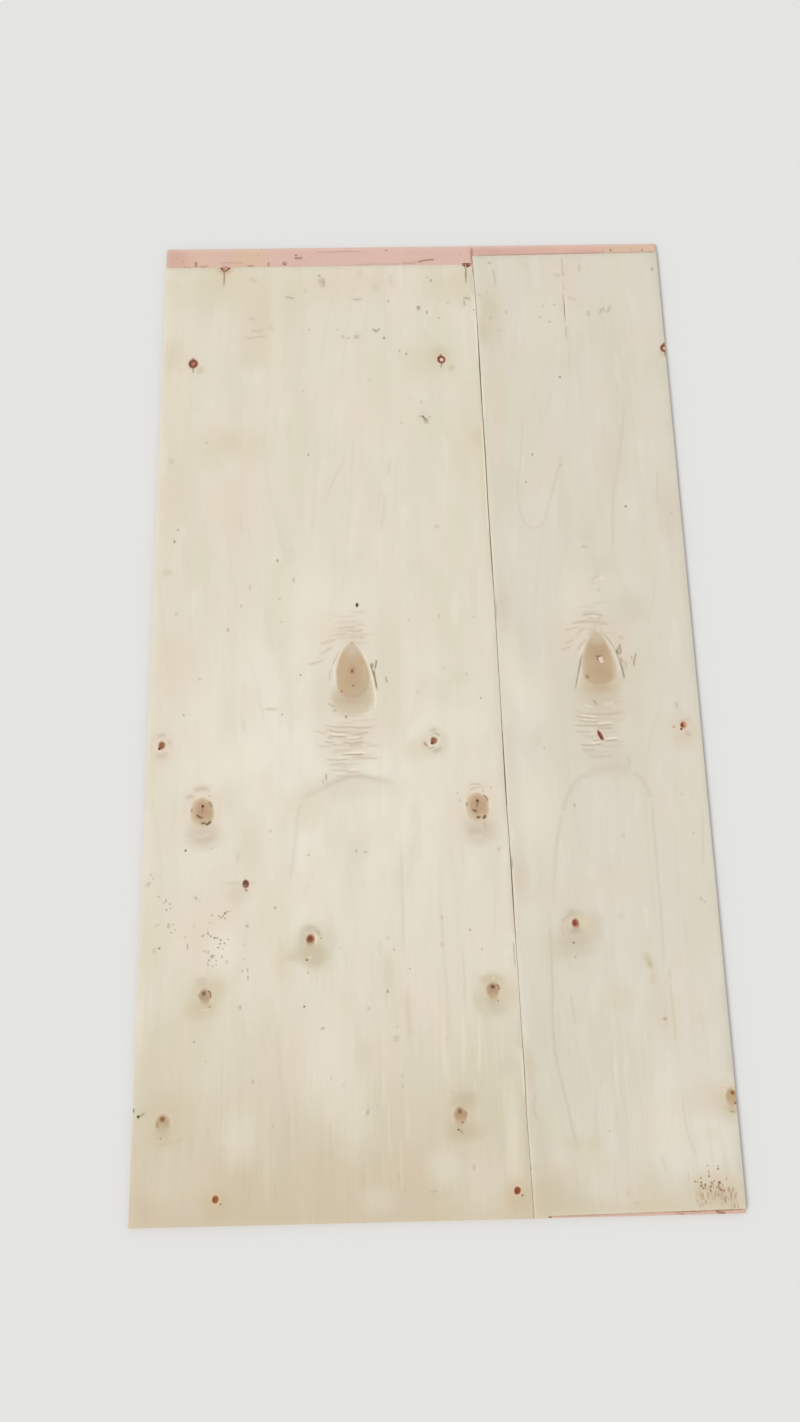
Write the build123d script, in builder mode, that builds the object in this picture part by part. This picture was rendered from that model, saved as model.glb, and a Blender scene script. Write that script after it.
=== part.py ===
"""Plywood sheet lying face up: seven plies glued with their grain crossed, the face laid in two veneers.

Millimetres, +Z up. The origin is the middle of the underside, X runs across the sheet and Y along it.
The face veneers are rotary cut and meet in a slanted joint that isn't quite closed. Both stop short of
the back end, and the right one of the front end too, so the crossband under them shows there.
"""

import os

from build123d import *

# Sheet
sheet_width = 1200.0
sheet_length = 2200.0
worn_corner_radius = 4.0

# Plies, with the inner ones named from the back up
back_thickness = 1.5
inner_thickness = 1.8
face_thickness = 1.5
inner_plies = [
    "crossband_lower",
    "core_veneer_lower",
    "crossband_middle",
    "core_veneer_upper",
    "crossband_upper",
]

# Course of the joint: distance from the back end, place across the sheet, width of the open gap
joint_course = [
    (0.0, 146.0, 2.2),
    (100.0, 149.7, 0.8),
    (220.0, 152.4, 1.2),
    (340.0, 153.6, 2.6),
    (460.0, 155.5, 1.6),
    (570.0, 157.6, 2.2),
    (680.0, 158.3, 1.6),
    (820.0, 161.0, 2.2),
    (920.0, 163.2, 1.0),
    (1060.0, 165.0, 1.2),
    (1160.0, 166.5, 0.9),
    (1250.0, 167.4, 1.8),
    (1330.0, 168.4, 2.6),
    (1410.0, 169.5, 1.4),
    (1455.0, 171.2, 1.0),
    (1540.0, 172.9, 2.2),
    (1600.0, 173.7, 2.2),
    (1680.0, 175.3, 1.0),
    (1730.0, 176.6, 0.7),
    (1820.0, 178.0, 0.8),
    (1920.0, 180.1, 1.4),
    (2010.0, 180.6, 0.9),
    (2070.0, 182.3, 0.7),
]
joint_front_place = 185.6
joint_front_gap = 0.6

# How far the face veneers stop short of the back end
left_veneer_short = 53.0
right_veneer_short_at_joint = 29.0
right_veneer_short_at_edge = 25.0

# Strip missing from the front end of the right veneer: where it starts and how deep it is
missing_strip_start = 214.0
missing_strip_depth_at_start = 3.6
missing_strip_depth_at_edge = 8.4

# Knots cut in half by the back end of the left veneer: the first has lost its core, both have split
lost_core_place = -456.0
lost_core_radius = 5.0
end_split_places = (-458.5, 130.0)
end_split_length = 54.0
end_split_width = 1.6

# Split, knot hole and bark slit in the right veneer: place across the sheet, distance from the back end
split_place = (365.0, 180.0)
split_length = 84.0
split_width = 1.5
knot_hole_place = (392.5, 1069.5)
knot_hole_width = 9.0
knot_hole_length = 14.0
knot_hole_corner = 2.0
knot_hole_angle = 15.0
bark_slit_place = (379.5, 1240.0)
bark_slit_width = 5.0
bark_slit_length = 23.0
bark_slit_angle = 27.0

half_width = sheet_width / 2
back_end = sheet_length / 2
front_end = -sheet_length / 2
left_veneer_end = back_end - left_veneer_short
face_bottom = back_thickness + inner_thickness * len(inner_plies)

os.makedirs("parts", exist_ok=True)


def joint_edge(side, veneer_short):
    """Points of a veneer's edge along the joint, from the back end forward: side is -1 left, 1 right."""
    start, *rest = joint_course
    course = [start] + [point for point in rest if veneer_short < point[0] < sheet_length]
    edge = [(x + side * gap / 2, back_end - max(down, veneer_short)) for down, x, gap in course]
    return edge + [(joint_front_place + side * joint_front_gap / 2, front_end)]


def on_sheet(place):
    """Point on the sheet from its place across and its distance from the back end."""
    across, down = place
    return (across, back_end - down)


def lens(length, width):
    """Closed outline of a split in wood, pointed at both ends, drawn in the open line along Y."""
    ThreePointArc((0, length / 2), (width / 2, 0), (0, -length / 2))
    ThreePointArc((0, -length / 2), (-width / 2, 0), (0, length / 2))


# Outline that all the plies are sawn to
with BuildSketch() as sheet_outline:
    Rectangle(sheet_width, sheet_length)
    right_corners = sheet_outline.vertices().group_by(Axis.X)[-1]
    fillet(right_corners.sort_by(Axis.Y)[0], worn_corner_radius)

# Back veneer
with BuildPart() as back_veneer:
    with BuildSketch(Plane.XY):
        add(sheet_outline.sketch)
    extrude(amount=back_thickness)
back_veneer.part.label = "back_veneer"
export_step(back_veneer.part, "parts/back_veneer.step")

# Inner plies
for level, name in enumerate(inner_plies):
    with BuildPart() as inner_ply:
        with BuildSketch(Plane.XY.offset(back_thickness + level * inner_thickness)):
            add(sheet_outline.sketch)
        extrude(amount=inner_thickness)
    inner_ply.part.label = name
    export_step(inner_ply.part, f"parts/{name}.step")

# Splits that start at the left veneer's back end and run out to a point
with BuildSketch() as end_splits:
    for place in end_split_places:
        with BuildLine():
            Polyline(
                (place - end_split_width / 2, left_veneer_end),
                (place + end_split_width / 2, left_veneer_end),
                (place, left_veneer_end - end_split_length),
                close=True,
            )
        make_face()

# Left face veneer
with BuildPart() as face_veneer_left:
    with BuildSketch(Plane.XY.offset(face_bottom)):
        add(sheet_outline.sketch)
        with BuildLine():
            Polyline(
                (-half_width, front_end),
                (-half_width, left_veneer_end),
                *joint_edge(-1, left_veneer_short),
                close=True,
            )
        make_face(mode=Mode.INTERSECT)
        with Locations((lost_core_place, left_veneer_end)):
            Circle(lost_core_radius, mode=Mode.SUBTRACT)
        add(end_splits.sketch, mode=Mode.SUBTRACT)
    extrude(amount=face_thickness)
face_veneer_left.part.label = "face_veneer_left"
export_step(face_veneer_left.part, "parts/face_veneer_left.step")

# Split that opened along the grain, away from the veneer's end
with BuildSketch() as split_outline:
    with BuildLine():
        lens(split_length, split_width)
    make_face()

# Bark slit below the large knot
with BuildSketch() as bark_slit_outline:
    with BuildLine():
        lens(bark_slit_length, bark_slit_width)
    make_face()

# Right face veneer
with BuildPart() as face_veneer_right:
    with BuildSketch(Plane.XY.offset(face_bottom)):
        add(sheet_outline.sketch)
        with BuildLine():
            Polyline(
                *joint_edge(1, right_veneer_short_at_joint),
                (missing_strip_start, front_end),
                (missing_strip_start, front_end + missing_strip_depth_at_start),
                (half_width, front_end + missing_strip_depth_at_edge),
                (half_width, back_end - right_veneer_short_at_edge),
                close=True,
            )
        make_face(mode=Mode.INTERSECT)
        with Locations(on_sheet(knot_hole_place)):
            RectangleRounded(
                knot_hole_width,
                knot_hole_length,
                knot_hole_corner,
                rotation=knot_hole_angle,
                mode=Mode.SUBTRACT,
            )
        with Locations(on_sheet(split_place)):
            add(split_outline.sketch, mode=Mode.SUBTRACT)
        with Locations(on_sheet(bark_slit_place)):
            add(bark_slit_outline.sketch, rotation=bark_slit_angle, mode=Mode.SUBTRACT)
    extrude(amount=face_thickness)
face_veneer_right.part.label = "face_veneer_right"
export_step(face_veneer_right.part, "parts/face_veneer_right.step")
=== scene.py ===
"""Looks of a plywood sheet that lies face up on a plain pale floor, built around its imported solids.

Every ply is made again as a fine mesh on its solid's own outline: sawn edges, frayed veneer ends and,
on the face, knots, splits and ripples in relief. Marks on the wood are placed in millimetres in the
sheet's frame: X across the sheet, Y along it, with the origin in its middle.
"""

import math
from dataclasses import dataclass
from typing import Callable

import bpy
import numpy as np
from mathutils import Euler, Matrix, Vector
from mathutils.geometry import delaunay_2d_cdt


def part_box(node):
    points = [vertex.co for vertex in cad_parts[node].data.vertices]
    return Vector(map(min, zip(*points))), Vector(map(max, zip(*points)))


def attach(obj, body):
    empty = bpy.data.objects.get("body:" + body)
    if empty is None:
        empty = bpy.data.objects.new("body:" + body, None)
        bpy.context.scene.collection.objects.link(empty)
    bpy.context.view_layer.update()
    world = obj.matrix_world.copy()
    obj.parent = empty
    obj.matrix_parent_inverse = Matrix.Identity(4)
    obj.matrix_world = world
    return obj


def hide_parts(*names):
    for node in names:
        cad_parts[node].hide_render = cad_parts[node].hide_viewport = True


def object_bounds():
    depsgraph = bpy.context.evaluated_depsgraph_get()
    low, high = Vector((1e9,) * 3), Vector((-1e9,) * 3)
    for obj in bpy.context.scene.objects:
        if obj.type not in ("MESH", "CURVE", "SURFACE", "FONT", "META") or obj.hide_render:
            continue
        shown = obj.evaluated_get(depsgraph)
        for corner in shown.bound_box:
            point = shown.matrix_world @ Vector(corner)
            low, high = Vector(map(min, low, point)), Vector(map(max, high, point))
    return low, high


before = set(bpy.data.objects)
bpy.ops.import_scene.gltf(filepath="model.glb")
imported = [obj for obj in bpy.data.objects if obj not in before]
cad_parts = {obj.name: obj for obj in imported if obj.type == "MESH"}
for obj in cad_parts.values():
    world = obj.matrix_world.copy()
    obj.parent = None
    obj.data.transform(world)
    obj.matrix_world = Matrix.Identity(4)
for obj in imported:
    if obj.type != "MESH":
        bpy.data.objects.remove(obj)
cad_low, cad_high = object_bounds()

MM = 0.001

# Camera: its place in metres, its turn in degrees from looking straight down, its lens in millimetres
camera_place = (-0.0842, -0.6537, 2.2445)
camera_turn = (14.472, -0.472, -1.192)
camera_lens = 26.8
camera_sensor = 36.0

# Light: an even dome and one broad lamp from the left and the front
dome_strength = 0.60
lamp_strength = 1.70
lamp_height = 48.0
lamp_azimuth = -52.0
lamp_spread = 24.0

# Floor
floor_size = 60.0
floor_drop = 0.0002
floor_colour = (228, 228, 226)

# Mesh, in mm: distances between points, from the finest marks to the plain wood and along the edges,
# and how near to another point or to an edge no new point may lie
mesh_steps = (0.8, 1.3, 2.2, 4.0, 7.0, 12.0)
edge_step = 3.0
least_cell = 1.0
edge_gap = 0.5

# Marks on the mesh: the least level that counts, how far in mm an uneven outline may stray, how many
# points stand across a spot, and the softness below which a spot's outline is drawn with finer points
least_level = 0.03
shake_reach = 2.0
spot_parts = 5
crisp_below = 0.55

# A line's softness, its reach from its course and its mesh, as shares of its width
line_spread = 0.6
line_reach = 1.4
line_step = 0.56

# Edges of the plies, in mm: the worn arris, how rough each kind of edge is, with the share of it that
# the hidden plies have, and how far the torn ends, the worn corner and the sawn outline reach
arris_width = 0.45
arris_drop = 0.22
sawn_roughness = 0.12
joint_roughness = 0.3
torn_roughness = 0.9
hidden_share = 0.8
torn_back = 60.0
torn_front = 12.0
worn_corner = 4.2
outline_gap = 0.05

# Walls of the plies: rows of points at shares of the height, the limit on how far a sharp corner's
# point is pushed, and the angle in degrees from which an edge is sharp
wall_shares = (0.66, 0.33)
corner_limit = 0.6
sharp_angle = 38.0

# The joint between the face veneers, in mm: the range of X that it lies in, and the steps and the
# faded ends of the lines along it
joint_low, joint_high = 140, 190
joint_step = 45
joint_fade = 14

# Relief of the folds in the veneer, in mm
fold_depth = 0.34
fold_rise = 0.28

# Colours of the wood, 0 to 255 per channel
left_wood = (225, 217, 199)
# Front colours (left_front_wood, right_front_wood): each face darker and more tan towards its front end
left_front_wood = (206, 192, 165)
right_wood = (219, 212, 196)
right_front_wood = (214, 202, 178)
strip_wood = (216, 184, 168)
heart_wood = (196, 171, 139)
dark_bark = (98, 56, 36)
glue = (128, 92, 68)


def hue(green, blue, green_slope=1.0, blue_slope=1.0):
    """Colours of one hue: a function that gives the colour for a lightness from 0 to 255."""
    return lambda level: (level, green + green_slope * level, blue + blue_slope * level)


dull = hue(-10, -30)
olive = hue(-12, -40)
moss = hue(-5, -28)
tan = hue(-13, -42)
cream = hue(-13, -36)
rosy = hue(-18, -38)
brown = hue(-27, -56)
fawn = hue(-14, -35)
ruddy = hue(-92, -126, 1.29, 1.36)
milky = hue(-7, -25)


def lighter(tint, by):
    """The same colours, each lighter by a number of levels."""
    return lambda level: tint(level + by)


def as_written(colour):
    """The colour of a row that gives all three channels."""
    return colour


pale_dull = lighter(dull, 6)


def linear(colour):
    """Linear RGBA of a colour that is written as 0 to 255 per channel."""
    shares = [max(channel, 0) / 255 for channel in colour]
    return (*[c / 12.92 if c <= 0.04045 else ((c + 0.055) / 1.055) ** 2.4 for c in shares], 1.0)


def ease(share):
    """A share from 0 to 1, slow at both ends."""
    return share * share * (3 - 2 * share)


def rise(value, low, high):
    """0 below low, 1 above high and a smooth rise between."""
    return ease(np.clip((value - low) / (high - low), 0.0, 1.0))


noise_table = np.random.default_rng(11).uniform(-1.0, 1.0, (256, 256))


def wander(x, y, size, stretch=1.0):
    """Smooth noise from -1 to 1 that changes over about size mm, and stretch times that along Y."""
    u, v = x / size, y / (size * stretch) + size
    i, j = np.floor(u).astype(int), np.floor(v).astype(int)
    s, t = ease(u - i), ease(v - j)
    near = noise_table[i & 255, j & 255] * (1 - s) + noise_table[(i + 1) & 255, j & 255] * s
    far = noise_table[i & 255, (j + 1) & 255] * (1 - s) + noise_table[(i + 1) & 255, (j + 1) & 255] * s
    return near * (1 - t) + far * t


# Marks


@dataclass
class Mark:
    """A place where the wood differs: how much of it shows at x, y, and what it does there."""

    box: tuple
    level: Callable
    step: float
    colour: tuple = None
    strength: float = 1.0
    depth: float = 0.0
    crisp: bool = False


def spot(x, y, wide, high, soft=0.35, lean=0.0, step=None, **look):
    """Oval of wide by high mm, its edge soft over a share of its radius, its top leaning left by degrees."""
    cos, sin = math.cos(math.radians(lean)), math.sin(math.radians(lean))
    reach = max(wide, high) / 2 * (1 + soft)

    def level(px, py):
        across = ((px - x) * cos + (py - y) * sin) / (wide / 2)
        along = ((py - y) * cos - (px - x) * sin) / (high / 2)
        return 1 - rise(np.hypot(across, along), 1 - soft, 1 + soft)

    return Mark((x - reach, y - reach, x + reach, y + reach), level, step or min(wide, high) / spot_parts,
                crisp=0 < soft < crisp_below, **look)


def smooth_way(course, closed=False, parts=8):
    """Points of a smooth curve through the course."""
    points = np.array(course, dtype=float)
    if closed:
        points = np.vstack([points[-1:], points, points[:2]])
    else:
        points = np.vstack([2 * points[0] - points[1], points, 2 * points[-1] - points[-2]])
    share = np.linspace(0, 1, parts, endpoint=False)[:, None]
    way = []
    for a, b, c, d in zip(points, points[1:], points[2:], points[3:]):
        way.append(b + 0.5 * share * (c - a + share * (2 * a - 5 * b + 4 * c - d + share * (3 * (b - c) + d - a))))
    if not closed:
        way.append(points[-2:-1])
    return np.vstack(way)


def nearest(way, px, py):
    """Distance from each point to the way, and the share of the way's length where that is."""
    best = np.full(px.shape, np.inf)
    share = np.zeros(px.shape)
    lengths = np.hypot(*(way[1:] - way[:-1]).T)
    total, run = lengths.sum(), 0.0
    for (x0, y0), (x1, y1), length in zip(way, way[1:], lengths):
        t = np.clip(((px - x0) * (x1 - x0) + (py - y0) * (y1 - y0)) / max(length * length, 1e-9), 0, 1)
        distance = np.hypot(px - x0 - t * (x1 - x0), py - y0 - t * (y1 - y0))
        closer = distance < best
        best = np.where(closer, distance, best)
        share = np.where(closer, (run + t * length) / total, share)
        run += length
    return best, share


def box_of(way, margin):
    """Low and high corner of a way's box, with a margin."""
    low, high = way.min(axis=0) - margin, way.max(axis=0) + margin
    return (*low, *high)


def line(course, width, fade=0.3, fade_end=None, step=None, **look):
    """Thin mark along a smooth course, width mm wide, which fades over a share of its length at its ends."""
    way = smooth_way(course)
    fade_end = fade if fade_end is None else fade_end

    def level(px, py):
        distance, share = nearest(way, px, py)
        ends = rise(share, -0.001, fade + 0.001) * rise(1 - share, -0.001, fade_end + 0.001)
        return np.exp(-((distance / (width * line_spread)) ** 2)) * ends

    return Mark(box_of(way, width * line_reach), level, step or max(width * line_step, mesh_steps[0]), **look)


def shape(course, soft, step=2.2, **look):
    """Area within a smooth closed course, its edge soft over soft mm to each side."""
    way = smooth_way(course, closed=True)
    way = np.vstack([way, way[:1]])

    def level(px, py):
        distance, _ = nearest(way, px, py)
        inside = np.zeros(px.shape, dtype=bool)
        for (x0, y0), (x1, y1) in zip(way, way[1:]):
            if y0 != y1:
                crosses = (y0 > py) != (y1 > py)
                inside ^= crosses & (px < x0 + (py - y0) * (x1 - x0) / (y1 - y0))
        return rise(np.where(inside, distance, -distance), -soft, soft)

    return Mark(box_of(way, soft), level, step, **look)


def fine_zone(x, y, wide, high, step):
    """A zone that only asks for a finer mesh."""
    return spot(x, y, wide, high, soft=0.1, step=step, strength=0.0)


def dots(tint, rows, **look):
    """A spot for each row of x, y, width, height and lightness."""
    return [spot(x, y, wide, high, colour=tint(level), **look) for x, y, wide, high, level in rows]


def clouds(tint, rows, strength=0.45):
    """A faint wide area for each row of x, y, width, height and lightness."""
    return dots(tint, rows, soft=0.8, strength=strength)


def strokes(tint, rows, **look):
    """A line for each row of width, lightness and the places that it runs through."""
    return [line(course, width, colour=tint(level), **look) for width, level, *course in rows]


def painted_shade_troughs(rows):
    """Low side of a fold in the veneer, away from the light: a dip in relief, with painted shade in its colour."""
    return strokes(fawn, rows, fade=0.22, strength=0.85, depth=fold_depth)


def pale_rims_and_highlight_crests(rows):
    """High side of a fold in the veneer, where the light catches, and pale rims of knots: a rise in relief in cream,
    which on the folds is a painted highlight.
    """
    return strokes(cream, rows, fade=0.22, strength=0.9, depth=-fold_rise)


def fold_field(x, y, wide, high, count, seed):
    """Faint folds across the grain, strewn over an oval: shallow dips, each with painted shade in its colour."""
    random = np.random.default_rng(seed)
    folds = []
    for down in np.linspace(-0.5, 0.5, count):
        middle = x + wide * random.uniform(-0.16, 0.16)
        half = wide * random.uniform(0.16, 0.34)
        level = y + high * down + random.uniform(-2.0, 2.0)
        sag = random.uniform(-2.5, 2.5)
        course = [(middle - half, level + sag), (middle, level), (middle + half, level + random.uniform(-2.5, 2.5))]
        folds.append(line(course, random.uniform(3.5, 6.5), fade=0.45, colour=fawn(205), strength=0.5,
                          depth=random.uniform(0.08, 0.2)))
    return folds


def specks(x, y, wide, high, count, seed):
    """Small grey-brown specks strewn over an oval."""
    random = np.random.default_rng(seed)
    strewn = []
    for _ in range(count):
        turn, out = random.uniform(0, 2 * math.pi), math.sqrt(random.uniform(0, 1))
        at_x, at_y = x + wide / 2 * out * math.cos(turn), y + high / 2 * out * math.sin(turn)
        strewn.append(spot(at_x, at_y, random.uniform(2.0, 3.4), random.uniform(2.0, 4.0), soft=0.4, step=0.8,
                           colour=fawn(random.uniform(145, 190)), strength=0.9))
    return strewn


# Outlines of the plies


def face_loops(node, height):
    """Outline loops of a node's flat face at a height in mm, each run with the wood on its left."""
    mesh = node.data
    places = np.array([vertex.co for vertex in mesh.vertices]) / MM
    edges = set()
    for polygon in mesh.polygons:
        corners = list(polygon.vertices)
        if polygon.normal.z > 0.9 and abs(places[corners][:, 2] - height).max() < 0.01:
            keys = [tuple(np.round(places[corner][:2], 3)) for corner in corners]
            edges.update(zip(keys, keys[1:] + keys[:1]))
    ahead = {start: end for start, end in edges if (end, start) not in edges}
    loops = []
    while ahead:
        start, place = ahead.popitem()
        loop = [start]
        while place != loop[0]:
            loop.append(place)
            place = ahead.pop(place)
        loops.append(np.array(loop))
    return sorted(loops, key=lambda loop: -np.ptp(loop[:, 1]))


def joint_side(name):
    """Course of a face veneer's edge along the joint: places along the sheet and across it."""
    outline = face_loops(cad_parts[name], cad_high[2] / MM)[0]
    return np.array(sorted((y, x) for x, y in outline if joint_low < x < joint_high)).T


joint_left, joint_right = joint_side("face_veneer_left"), joint_side("face_veneer_right")


def along_joint(tint, rows, side=None, aside=0.0):
    """Lines that follow the joint, or an edge of it, from top to bottom: rows of top, bottom, width, lightness."""
    lines = []
    for top, bottom, width, level in rows:
        y = np.linspace(top, bottom, max(4, round((top - bottom) / joint_step)))
        x = [np.interp(y, *edge) for edge in (joint_left, joint_right)]
        x = (x[0] + x[1]) / 2 if side is None else x[side] + aside
        fade = min(0.3, joint_fade / (top - bottom))
        lines.append(line(list(zip(x, y)), width, fade=fade, colour=tint(level)))
    return lines


# Kinds of knots


def ring_knot(x, y, wide, high, rim, heart, heart_wide, stain):
    """Dead knot with a ring of bark round its heart, a spike of bark behind and a dark tail in front."""
    stain_x, stain_y = stain
    return [
        spot(x, y, wide + 9, high + 9, soft=0.25, colour=(224, 200, 176), strength=0.8, step=2.2),
        spot(x + stain_x, y + stain_y, 18, 20, soft=0.6, colour=tan(208), strength=0.7),
        line([(x - 1, y + high / 2 - 4), (x, y + high / 2 + 6)], 3.2, fade=0.1, fade_end=0.5, colour=rim, depth=0.2),
        line([(x + 1, y - high / 2 + 2), (x, y - high / 2 - 7), (x, y - high / 2 - 16)], 2.8, fade=0.1, fade_end=0.5,
             colour=olive(148), depth=0.2),
        spot(x, y, wide, high, soft=0.22, colour=rim, depth=0.18, step=0.8),
        spot(x - wide * 0.32, y, wide * 0.3, high * 0.6, soft=0.6, colour=dark_bark, strength=0.5),
        spot(x + 0.5, y - 0.5, heart_wide, heart_wide * 1.1, soft=0.35, colour=heart, depth=0.1, step=0.8),
    ]


def sound_knot(x, y, body, tone, core, core_tone, halo):
    """Sound knot: a dark core in a brown body that fades to the front, with a pale ring and a dull halo."""
    wide, high = body
    core_x, core_y, core_wide, core_high = core
    return [
        spot(x, y - halo * 0.3, halo * 2.2, halo * 2.5, soft=0.7, step=4.0, colour=(213, 201, 175), strength=0.65),
        spot(x, y - halo * 0.1, halo * 1.4, halo * 1.6, soft=0.7, step=4.0, colour=(207, 192, 164), strength=0.7),
        spot(x - halo * 0.1, y - halo * 0.8, halo * 1.3, halo * 0.7, soft=0.8, step=4.0, colour=(208, 195, 168),
             strength=0.7),
        spot(x, y + halo * 0.6, halo * 1.1, halo * 0.45, soft=0.8, step=4.0, colour=(208, 195, 169), strength=0.7),
        spot(x, y, wide + 8, high + 8, soft=0.3, colour=cream(226), strength=0.6, step=2.2),
        spot(x, y - high * 0.6, wide * 0.8, high * 0.6, soft=0.8, colour=(196, 174, 140), strength=0.6),
        spot(x, y, wide, high, soft=0.35, colour=tone, depth=0.08, step=1.3),
        spot(x, y - high * 0.34, wide * 0.7, high * 0.3, soft=0.7, colour=(199, 175, 142), strength=0.5),
        spot(core_x, core_y, core_wide, core_high, soft=0.5, colour=core_tone, depth=0.12, step=0.8),
    ]


def oval_knot(x, y, left_tone, right_tone):
    """Sound knot of the rotary pattern: a brown heart in a paler oval, with a pith crack and rings of dull wood."""
    return [
        fine_zone(x, y - 8, 90, 110, 2.2),
        spot(x, y - 6, 92, 110, soft=0.4, step=7.0, colour=rosy(224), strength=0.5),
        spot(x + 2, y - 36, 58, 56, soft=0.7, step=4.0, colour=(211, 200, 175), strength=0.65),
        spot(x + 4, y - 58, 66, 44, soft=0.8, step=4.0, colour=fawn(205), strength=0.7),
        spot(x, y - 1, 58, 70, soft=0.2, colour=cream(230), strength=0.8),
        spot(x, y - 5, 48, 63, soft=0.16, colour=(207, 189, 160), depth=0.1, step=2.2),
        spot(x - 17, y - 2, 12, 44, soft=0.6, colour=left_tone, strength=0.9),
        spot(x + 15, y - 4, 14, 40, soft=0.6, colour=right_tone, strength=0.9),
        spot(x - 1, y - 1, 30, 46, soft=0.4, colour=(190, 158, 128), step=2.2),
        spot(x, y + 9, 6.4, 7, soft=0.4, colour=brown(98), depth=0.25, step=0.8),
        line([(x, y + 7), (x - 0.5, y), (x - 1.5, y - 9)], 3.6, fade=0.1, fade_end=0.4, colour=brown(152), depth=0.3),
    ]


def small_knot(ring, body, side, core):
    """Small sound knot: pale ring, brown body, duller side and dark core, each a place, a size and a colour."""
    return [
        spot(*ring[:4], soft=0.25, colour=cream(ring[4]), strength=0.9),
        spot(*body[:4], colour=body[4], depth=0.12),
        spot(*side[:4], soft=0.6, colour=olive(side[4]), strength=0.8),
        spot(*core[:4], colour=core[4], depth=0.12),
    ]


def edge_knot(x, y, tone):
    """Small knot near the front end, in a pale ring and a dull halo."""
    return [
        spot(x, y - 10, 48, 52, soft=0.7, colour=(205, 187, 155), strength=0.8, step=4.0),
        spot(x, y, 18, 20, soft=0.3, colour=(226, 190, 158), strength=0.9),
        spot(x, y, 12.6, 14.8, soft=0.22, colour=tone, depth=0.15, step=0.8),
        spot(x - 3, y - 1, 4.4, 7, soft=0.6, colour=dark_bark, strength=0.6),
    ]


def heart_ground(x, y, dip_y):
    """Fine mesh for a large knot with the folds in front of it, and the shallow dip that it lies in."""
    return [
        fine_zone(x, y, 190, 250, 2.2),
        fine_zone(x, y - 65, 150, 330, 2.2),
        spot(x, dip_y, 230, 470, soft=0.6, step=7.0, strength=0.0, depth=0.12),
    ]


# Marks of the left veneer

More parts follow.
